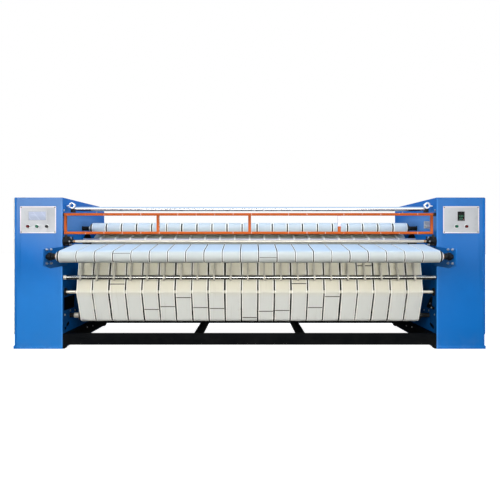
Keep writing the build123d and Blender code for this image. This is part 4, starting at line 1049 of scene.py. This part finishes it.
class IRONER_OT_rolls(Piece):
    """Steel rolls and tubes with recessed end plates, hubs and ribbed shaft ends"""

    bl_idname = "ironer.rolls"
    bl_label = "Rolls and tubes"

    def make(self, s):
        half = roll_half(ROLL_END, [(0.022, RIBS_START - 0.0035), (0.017, BEARING_END)])
        # the roll shells get the dark steel finish: painted shade in the gaps between the belts
        for node, axis in (("return_roll", RETURN), ("nip_roll", NIP), ("top_roll", TOP),
                           ("rear_top_roll", REAR_TOP), ("rear_bottom_roll", REAR_BOTTOM),
                           ("front_bottom_roll", FRONT_BOTTOM)):
            self.roll(node, axis, half, "turned_steel", "dark_roll", ROLL_END - 0.007)
            self.ribs(node, axis)
        self.roll("rear_feed_roll", REAR_FEED, roll_half(1.506, [(0.024, 1.520), (0.017, BEARING_END)]),
                  "turned_steel", "dark_roll")
        journal = [(BEARING_END, 0.010), (BEARING_END, 0.0)]
        bend = [(1.540, 0.014), (1.541, 0.016), (1.556, 0.016), (1.557, 0.014), (1.579, 0.014),
                (1.580, 0.013), (1.580, 0.010)]
        self.roll("bend_tube", BEND, bend + journal, "polished_steel", "bend_tube")
        tube = [(1.567, 0.019), (1.589, 0.019), (1.591, 0.0175), (1.592, 0.010)]
        self.roll("tape_tube", TAPE_TUBE, tube + journal, "polished_steel", "dull_tube", 1.567)
        bar = [(1.518, 0.015), (1.520, 0.0135), (1.520, 0.010)]
        self.roll("tape_bar", TAPE_BAR, bar + journal, "polished_steel", "polished_steel")
        axis = place(*PRESS)
        press = turned(both_ends([(1.4945, 0.013), (1.496, 0.0125), (1.496, 0.010)] + journal), axis)
        sleeves(press, [(1.4962, 0.0105), (1.4962, 0.0140), (1.4975, 0.0145), (1.5085, 0.0145),
                        (1.510, 0.0137), (1.510, 0.0105)], axis, 1)
        stand_in("press_tube", press, "polished_steel", ["press_tube", "copper"])
        self.feed_roll()
        self.collar()

    def roll(self, node, axis, half, slot, look, hub=None):
        """hub: how far from the middle the left end's lighter plate and hub start."""
        bm = turned(both_ends(half), place(*axis), 56)
        for face in bm.faces:
            if hub and all(hub < -vert.co.x < WALL - 0.0035 for vert in face.verts):
                face.material_index = 1
        stand_in(node, bm, slot, [look, "bright_hub"] if hub else [look])

    def collar(self):
        """A white sleeve on the left shaft end of the front bottom roll."""
        sleeve = turned([(-1.5585, 0.0175), (-1.5585, 0.0220), (-1.5575, 0.0228), (-1.5305, 0.0228),
                         (-1.5302, 0.0175)], place(*FRONT_BOTTOM))
        new_piece("roll_collar", sleeve, "turned_steel", "front_bottom_roll", finish_names=["bright_hub"])

    def ribs(self, node, axis):
        """Dark ribbed sleeves on the shaft ends between the hub and the wall."""
        y, z = place(*axis)
        base = bpy.data.meshes.new("nothing")
        bm = bmesh.new()
        for side in SIDES:
            bm.from_mesh(run(recipe(rib_recipe), base, Start=side * RIBS_START, Pitch=side * 0.0062, Count=10,
                             Radius=0.0168, Thickness=0.0030, Depth=y, Height=z, Material=finish("cast_iron")))
        bmesh.ops.recalc_face_normals(bm, faces=bm.faces)
        new_piece(node + "_ribs", bm, "cast_iron", frame["nodes"][node]["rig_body"], smooth=60.0)

    def feed_roll(self):
        """White collar, warm ring and black shaft at each end of the front feed roll."""
        axis = place(*FEED)
        bm = turned(both_ends(roll_half(ROLL_END, [(0.017, WALL + 0.020)])), axis, 56)
        sleeves(bm, [(1.5122, 0.018), (1.5122, 0.0335), (1.5135, 0.034), (1.5205, 0.034), (1.522, 0.0325),
                     (1.522, 0.018)], axis, 1)
        sleeves(bm, [(1.5222, 0.018), (1.5222, 0.0235), (1.5290, 0.024), (1.530, 0.023),
                     (1.530, 0.0172)], axis, 2)
        # the feed roll gets the same dark steel: painted shade in the gaps between the belts
        stand_in("feed_roll", bm, "turned_steel", ["dark_roll", "white_plastic", "copper"])


class IRONER_OT_cylinder(Piece):
    """The heated cylinder with its bolted heads and its sprocket"""

    bl_idname = "ironer.cylinder"
    bl_label = "Heated cylinder"

    def make(self, s):
        half = [(1.516, CYLINDER_RADIUS), (1.520, 0.396), (1.520, 0.372), (1.512, 0.368), (1.512, 0.150),
                (1.520, 0.140)]
        profile = ([(-1.700, 0.0), (-1.700, 0.060), (-1.520, 0.060)] + both_ends(half)
                   + [(1.520, 0.060), (1.722, 0.060), (1.722, 0.0)])
        new_piece("cylinder_look", turned(profile, place(*CYLINDER), 128), "cylinder_steel", "cylinder",
                  ["heated_cylinder"], smooth=35.0)
        dressed("cylinder_sprocket", "turned_steel", 0.0006)
        places = bolt_circle(1.512, CYLINDER, 0.345, range(0, 360, 15), 1)
        bolts = repeated(hex_bolt(0.019, 0.007), places, "zinc", spin=1.0, seed=5)
        new_piece("head_bolts", bolts, "zinc", "cylinder")


def facing(side):
    """The turn that points a fitting to the right for 1 and to the left for -1."""
    return 0.0, 0.0, 0.0 if side > 0 else math.pi


def bolt_circle(x, axis, radius, angles, outward):
    """Places round an axis at both ends, pointing away from the middle for outward 1 and to it for -1."""
    y, z = place(*axis)
    return [((side * x, y + radius * math.cos(math.radians(a)), z + radius * math.sin(math.radians(a))),
             facing(side * outward)) for side in SIDES for a in angles]


def hex_bolt(across, height, stud=0.0):
    """A hexagon head on a washer, pointing along +X from the origin."""
    washer = 0.0015
    bm = turned([(0.0, across * 0.62), (washer * 0.7, across * 0.62), (washer, across * 0.59)], around=24)
    radius = across / 2 / math.cos(math.radians(30))
    top = washer + height
    add(bm, turned([(washer, radius), (washer + height * 0.82, radius), (top, radius * 0.80)], around=6))
    if stud:
        add(bm, turned([(washer + height * 0.9, across * 0.30), (top + stud - 0.001, across * 0.30),
                        (top + stud, across * 0.24)], around=16))
    return bm


class IRONER_OT_castings(Piece):
    """Feed brackets, black bearing units, the press tube's holders, hinges, rail blocks and the switch"""

    bl_idname = "ironer.castings"
    bl_label = "Castings and brackets"

    def make(self, s):
        dressed("feed_brackets", "blue_paint", s.sheet_edge, ["bracket_blue"])
        for node in ("feed_bearings", "press_holders", "guard_hinges", "shaft_bearings", "rail_blocks"):
            dressed(node, "cast_iron", s.casting_edge)
        dressed("limit_switch", "grey_plastic", 0.001)
        places = bolt_circle(1.542, PRESS, 0.033, (30, 90, 180, 240, 300), -1)
        bolts = repeated(hex_bolt(0.013, 0.006, 0.003), places, "zinc", spin=3.0)
        new_piece("holder_bolts", bolts, "zinc", "frame")


class IRONER_OT_finger_guard(Piece):
    """The orange guard in front of the nip, with a pale wrap on one of its bars"""

    bl_idname = "ironer.finger_guard"
    bl_label = "Finger guard"

    def make(self, s):
        dressed("finger_guard", "orange_paint", 0.002)
        y, z = place(0.025, 1.098)
        wrap = add(box((0.7555, y - 0.0125, z - 0.052), (0.7825, y + 0.0125, z + 0.038), 0.003),
                   box((0.7552, y - 0.0128, z - 0.020), (0.7828, y + 0.0128, z + 0.012), 0.003))
        new_piece("guard_tape", wrap, "white_plastic", "finger_guard", finish_names=["white_tape"])


class IRONER_OT_top_rail(Piece):
    """The polished rail and its bent strap loops"""

    bl_idname = "ironer.top_rail"
    bl_label = "Top rail"

    def make(self, s):
        tube = turned(both_ends([(1.5325, 0.019), (1.533, 0.0185), (1.533, 0.016)]), place(*RAIL), 40)
        new_piece("rail_tube", tube, "polished_steel", "frame", ["top_rail"])
        dressed("rail_loops", "stainless", 0.0012, ["bright_ring"])


class IRONER_OT_control_panels(Piece):
    """Brushed plates, their screws, the touch screen and the temperature controller"""

    bl_idname = "ironer.control_panels"
    bl_label = "Control panels"

    def make(self, s):
        dressed("control_plates", "stainless", 0.0008)
        rims = bmesh.new()
        for side in SIDES:
            x, z, wide, high, rim = side * PLATE_X, PLATE_Z, 0.153, 0.1145, 0.008
            for x0, x1, z0, z1 in ((-wide, wide, high - rim, high), (-wide, wide, -high, rim - high),
                                   (-wide, rim - wide, rim - high, high - rim),
                                   (wide - rim, wide, rim - high, high - rim)):
                add(rims, box((x + x0, FRONT - 0.0028, z + z0), (x + x1, FRONT - 0.0018, z + z1), 0.0004))
        new_piece("plate_rims", rims, "stainless", "frame", finish_names=["plate_rim"])
        self.screws()
        self.screen()
        self.controller()

    def screws(self):
        forwards = (0.0, 0.0, math.radians(-90))
        places = [((side * PLATE_X + sx * 0.144, FRONT - 0.002, PLATE_Z + sz * 0.1055), forwards)
                  for side in SIDES for sx in SIDES for sz in SIDES]
        head = turned([(0.0, 0.0050), (0.0012, 0.0050), (0.0022, 0.0038), (0.0025, 0.0022), (0.0016, 0.0020),
                       (0.0016, 0.0)], around=20)
        new_piece("plate_screw_heads", repeated(head, places, "plate_screw", spin=3.0), "zinc", "frame",
                  ["plate_screws"])

    def framed(self, low, high, rim, sink):
        """A box whose front face has a raised rim round a sunken window, which gets the second material."""
        bm = box(low, high, 0.0008)
        window = max((f for f in bm.faces if f.normal.y < -0.99), key=lambda f: f.calc_area())
        bmesh.ops.inset_individual(bm, faces=[window], thickness=rim)
        bmesh.ops.inset_individual(bm, faces=[window], thickness=sink, depth=-sink)
        window.material_index = 1
        return bm

    def screen(self):
        bm = self.framed((-1.890, FRONT - 0.0035, 1.094), (-1.733, FRONT + 0.038, 1.177), 0.0065, 0.0008)
        stand_in("touch_screen", bm, "screen", ["grey_plastic", "screen"])

    def controller(self):
        low, high = (1.774, FRONT - 0.006, 1.092), (1.833, FRONT + 0.080, 1.172)
        bm = self.framed(low, high, 0.004, 0.0006)
        face = low[1] + 0.0004
        parts = [(2, 1.7865, 1.1255, 0.0085, 0.0150, "888"), (2, 1.7880, 1.1070, 0.0070, 0.0110, "888"),
                 (3, 1.8190, 1.1015, 0.0055, 0.0095, "1")]
        for slot, x, z, wide, high_digit, text in parts:
            for i, digit in enumerate(text):
                start = len(bm.faces)
                add(bm, self.digit(digit, x + i * wide * 1.5, z, wide, high_digit, face))
                paint_faces(bm, slot, start)
        start = len(bm.faces)
        for i in range(4):
            x = 1.7820 + i * 0.0125
            add(bm, box((x, face - 0.0012, 1.0965), (x + 0.0080, face + 0.001, 1.1000), 0.0004))
        paint_faces(bm, 4, start)
        new_piece("controller_look", bm, "black_plastic", "frame", ["temperature_controller"],
                  ["display_black", "display_black", "green_digit", "red_digit", "grey_plastic"])

    def digit(self, digit, x, z, wide, high, face):
        """A seven-segment figure standing 0.2 mm off the display."""
        bars = {"1": "bc", "8": "abcdefg"}[digit]
        thick = wide * 0.2
        half = high / 2
        spans = {"a": (0, high - thick, wide, high), "b": (wide - thick, half, wide, high),
                 "c": (wide - thick, 0, wide, half), "d": (0, 0, wide, thick), "e": (0, 0, thick, half),
                 "f": (0, half, thick, high), "g": (0, half - thick / 2, wide, half + thick / 2)}
        bm = bmesh.new()
        for bar in bars:
            x0, z0, x1, z1 = spans[bar]
            gap = thick * 0.15
            add(bm, box((x + x0 + gap, face - 0.0003, z + z0 + gap),
                        (x + x1 - gap, face + 0.0004, z + z1 - gap)))
        return bm


class IRONER_OT_buttons(Piece):
    """Domed push-buttons in their threaded collars"""

    bl_idname = "ironer.buttons"
    bl_label = "Push-buttons"

    def make(self, s):
        dressed("button_bezels", "zinc", 0.0008, ["bright_ring"])
        rows = {"red_button_left": (-1.888, "red_plastic"), "green_button_left": (-1.811, "green_plastic"),
                "black_button_left": (-1.728, "black_plastic"),
                "green_button_right": (1.763, "green_plastic"), "red_button_right": (1.847, "red_plastic")}
        for node, (x, slot) in rows.items():
            cap = turned([(FRONT + 0.022, 0.0), (FRONT + 0.022, 0.013), (FRONT - 0.0190, 0.013),
                          (FRONT - 0.0210, 0.0122), (FRONT - 0.0220, 0.0106), (FRONT - 0.0217, 0.0094),
                          (FRONT - 0.0214, 0.0060), (FRONT - 0.0213, 0.0)], (x, BUTTON_Z), 40, True)
            # painted shade: the cap's sides in black plastic stand in for the shade round the coloured dome
            for face in cap.faces:
                face.material_index = int(min(vert.co.y for vert in face.verts) > FRONT - 0.0195)
            stand_in(node, cap, slot, [slot, "black_plastic"])


class IRONER_OT_fasteners(Piece):
    """Nuts and bolts on the brackets, walls and side beams"""

    bl_idname = "ironer.fasteners"
    bl_label = "Fasteners"

    def make(self, s):
        nuts, screws, beam_screws = [], [], []
        for side in SIDES:
            aim = facing(-side)
            for d, h in ((-0.045, -0.054), (-0.045, 0.054), (0.045, -0.054), (0.045, 0.054)):
                nuts.append(((side * (WALL - 0.005), *place(FEED[0] + d, FEED[1] + h)), aim))
            for d, h in ((0.050, 0.285), (0.194, 0.304), (0.318, 0.292), (0.031, 1.184), (1.000, 1.223)):
                screws.append(((side * WALL, *place(d, h)), aim))
            for d, h in ((0.520, 0.105), (0.700, 0.090)):
                beam_screws.append(((side * (WALL - 0.050), *place(d, h)), aim))
        for d, h in ((0.127, 0.374), (0.098, 0.340)):
            screws.append(((WALL - 0.010, *place(d, h)), facing(-1)))
        bm = bmesh.new()
        for template, places in ((hex_bolt(0.018, 0.009, 0.006), nuts), (hex_bolt(0.016, 0.0055), screws),
                                 (hex_bolt(0.014, 0.005), beam_screws)):
            bm.from_mesh(repeated(template, places, "zinc", spin=3.0, seed=9))
        new_piece("bolt_heads", bm, "zinc", "frame", ["frame_bolts"])


class IRONER_OT_drive_and_steam(Piece):
    """What the cabinets hide: motor, gearbox, chain, steam union, pipes and the electrical box"""

    bl_idname = "ironer.drive_and_steam"
    bl_label = "Drive and steam"

    def make(self, s):
        for node, slot in (("drive_bed", "black_paint"), ("gearbox", "grey_plastic"),
                           ("drive_motor", "blue_paint"), ("drive_sprocket", "turned_steel"),
                           ("drive_chain", "turned_steel"), ("rotary_union", "zinc"),
                           ("steam_pipes", "turned_steel"), ("electrical_box", "grey_plastic"),
                           ("cable_gland", "black_plastic")):
            dressed(node, slot, 0.0008)


class IRONER_OT_rear_panels(Piece):
    """The three panels behind the belts, their inner faces painted black as painted shade"""

    bl_idname = "ironer.rear_panels"
    bl_label = "Rear panels"

    def make(self, s):
        # painted shade: the inner faces in black paint
        dressed("rear_panels", "blue_paint", 0.0008, ["blue_paint", "black_paint"],
                lambda face: face.normal.y < -0.3)


class IRONER_OT_stage(Piece):
    """Pale floor, soft light and the camera"""

    bl_idname = "ironer.stage"
    bl_label = "Stage"

    def make(self, s):
        scene = bpy.context.scene
        bm = bmesh.new()
        bmesh.ops.create_grid(bm, x_segments=8, y_segments=8, size=40.0)
        mesh = to_mesh(bm, "studio_floor", 60.0)
        mesh.materials.append(finish("studio_floor"))
        floor = new_object("studio_floor", mesh)
        floor.visible_diffuse = floor.visible_glossy = floor.visible_shadow = False
        self.backdrop()
        world = bpy.data.worlds.new("studio")
        world.use_nodes = True
        sky = Tree(world.node_tree)
        up = sky.axes(sky.node("ShaderNodeTexCoord"))[2]
        tint = sky.node("ShaderNodeValToRGB", {"stops": [
            (0.0, srgb(40, 40, 40)), (0.44, srgb(70, 70, 68)), (0.5, srgb(150, 150, 148)),
            (0.58, (1.0, 1.0, 1.0)), (1.0, srgb(196, 222, 255))]}, {0: up * 0.5 + 0.5})
        sky.tree.links.new(tint.socket, sky.tree.nodes["Background"].inputs["Color"])
        scene.world = world
        self.lamp("overhead", (0.0, -0.6, 4.6), (0, 0), (6.0, 4.0), 50.0, (0.64, 0.86, 1.0))
        self.lamp("key", (-3.8, -6.2, 2.7), (72, -32), (3.5, 2.0), 135.0, (1.0, 0.985, 0.96))
        self.lamp("low fill", (0.0, -7.6, 0.55), (90, 0), (5.0, 0.9), 34.0, (1.0, 0.99, 0.96), 60)
        self.lamp("fill", (2.6, -7.4, 2.2), (78, 20), (3.0, 2.0), 88.0, (1.0, 0.98, 0.95))
        scene.view_settings.view_transform = "Standard"

        camera = new_object("camera", bpy.data.cameras.new("camera"))
        camera.location = (0.0, -4.9625, 0.895)
        camera.rotation_euler = (math.radians(90), 0.0, 0.0)
        camera.data.lens, camera.data.sensor_width = 38.23, 36.0
        camera.data.shift_x, camera.data.shift_y = 0.0008, -0.012
        scene.camera = camera

    def backdrop(self):
        """A white dome that only the camera sees."""
        bm = bmesh.new()
        bmesh.ops.create_uvsphere(bm, u_segments=32, v_segments=16, radius=70.0)
        mesh = to_mesh(bm, "backdrop", 60.0)
        white = Finish("backdrop", Base_Color=(0.0, 0.0, 0.0, 1.0), Specular_IOR_Level=0.0,
                       Emission_Color=(1.0, 1.0, 1.0, 1.0), Emission_Strength=1.0)
        mesh.materials.append(white.material)
        dome = new_object("backdrop", mesh)
        dome.visible_diffuse = dome.visible_glossy = dome.visible_shadow = dome.visible_transmission = False

    def lamp(self, name, where, aim, size, power, tint, spread=180):
        """aim: how far it is tipped up from straight down, then turned."""
        light = bpy.data.lights.new(name, "AREA")
        light.spread = math.radians(spread)
        light.shape, (light.size, light.size_y) = "RECTANGLE", size
        light.energy, light.color = power, tint
        lamp = new_object(name, light)
        lamp.location, lamp.rotation_euler = where, (math.radians(aim[0]), 0.0, math.radians(aim[1]))


OPERATORS = (IRONER_OT_cabinets, IRONER_OT_floor_frame, IRONER_OT_ironing_belts, IRONER_OT_feed_belts,
             IRONER_OT_transfer_tapes, IRONER_OT_stripper_fingers, IRONER_OT_rolls, IRONER_OT_cylinder,
             IRONER_OT_castings, IRONER_OT_finger_guard, IRONER_OT_top_rail, IRONER_OT_control_panels,
             IRONER_OT_buttons, IRONER_OT_fasteners, IRONER_OT_drive_and_steam, IRONER_OT_rear_panels,
             IRONER_OT_stage)


class IRONER_PT_pieces(bpy.types.Panel):
    """Lists the ironer's sizes, colours and pieces"""

    bl_idname = "IRONER_PT_pieces"
    bl_label = "Flatwork ironer"
    bl_space_type = "VIEW_3D"
    bl_region_type = "UI"
    bl_category = "Ironer"

    def draw(self, context):
        for group in (context.scene.ironer_sizes, context.scene.ironer_colours):
            column = self.layout.column()
            for name in group.__annotations__:
                column.prop(group, name)
        for operator in OPERATORS:
            self.layout.operator(operator.bl_idname)


CLASSES = (IronerSizes, IronerColours, *OPERATORS, IRONER_PT_pieces)


def register():
    for cls in CLASSES:
        bpy.utils.register_class(cls)
    bpy.types.Scene.ironer_sizes = bpy.props.PointerProperty(type=IronerSizes)
    bpy.types.Scene.ironer_colours = bpy.props.PointerProperty(type=IronerColours)


def unregister():
    del bpy.types.Scene.ironer_sizes, bpy.types.Scene.ironer_colours
    for cls in reversed(CLASSES):
        bpy.utils.unregister_class(cls)


def main():
    register()
    for operator in OPERATORS:
        getattr(bpy.ops.ironer, operator.bl_idname.split(".")[1])()


if __name__ == "__main__":
    main()
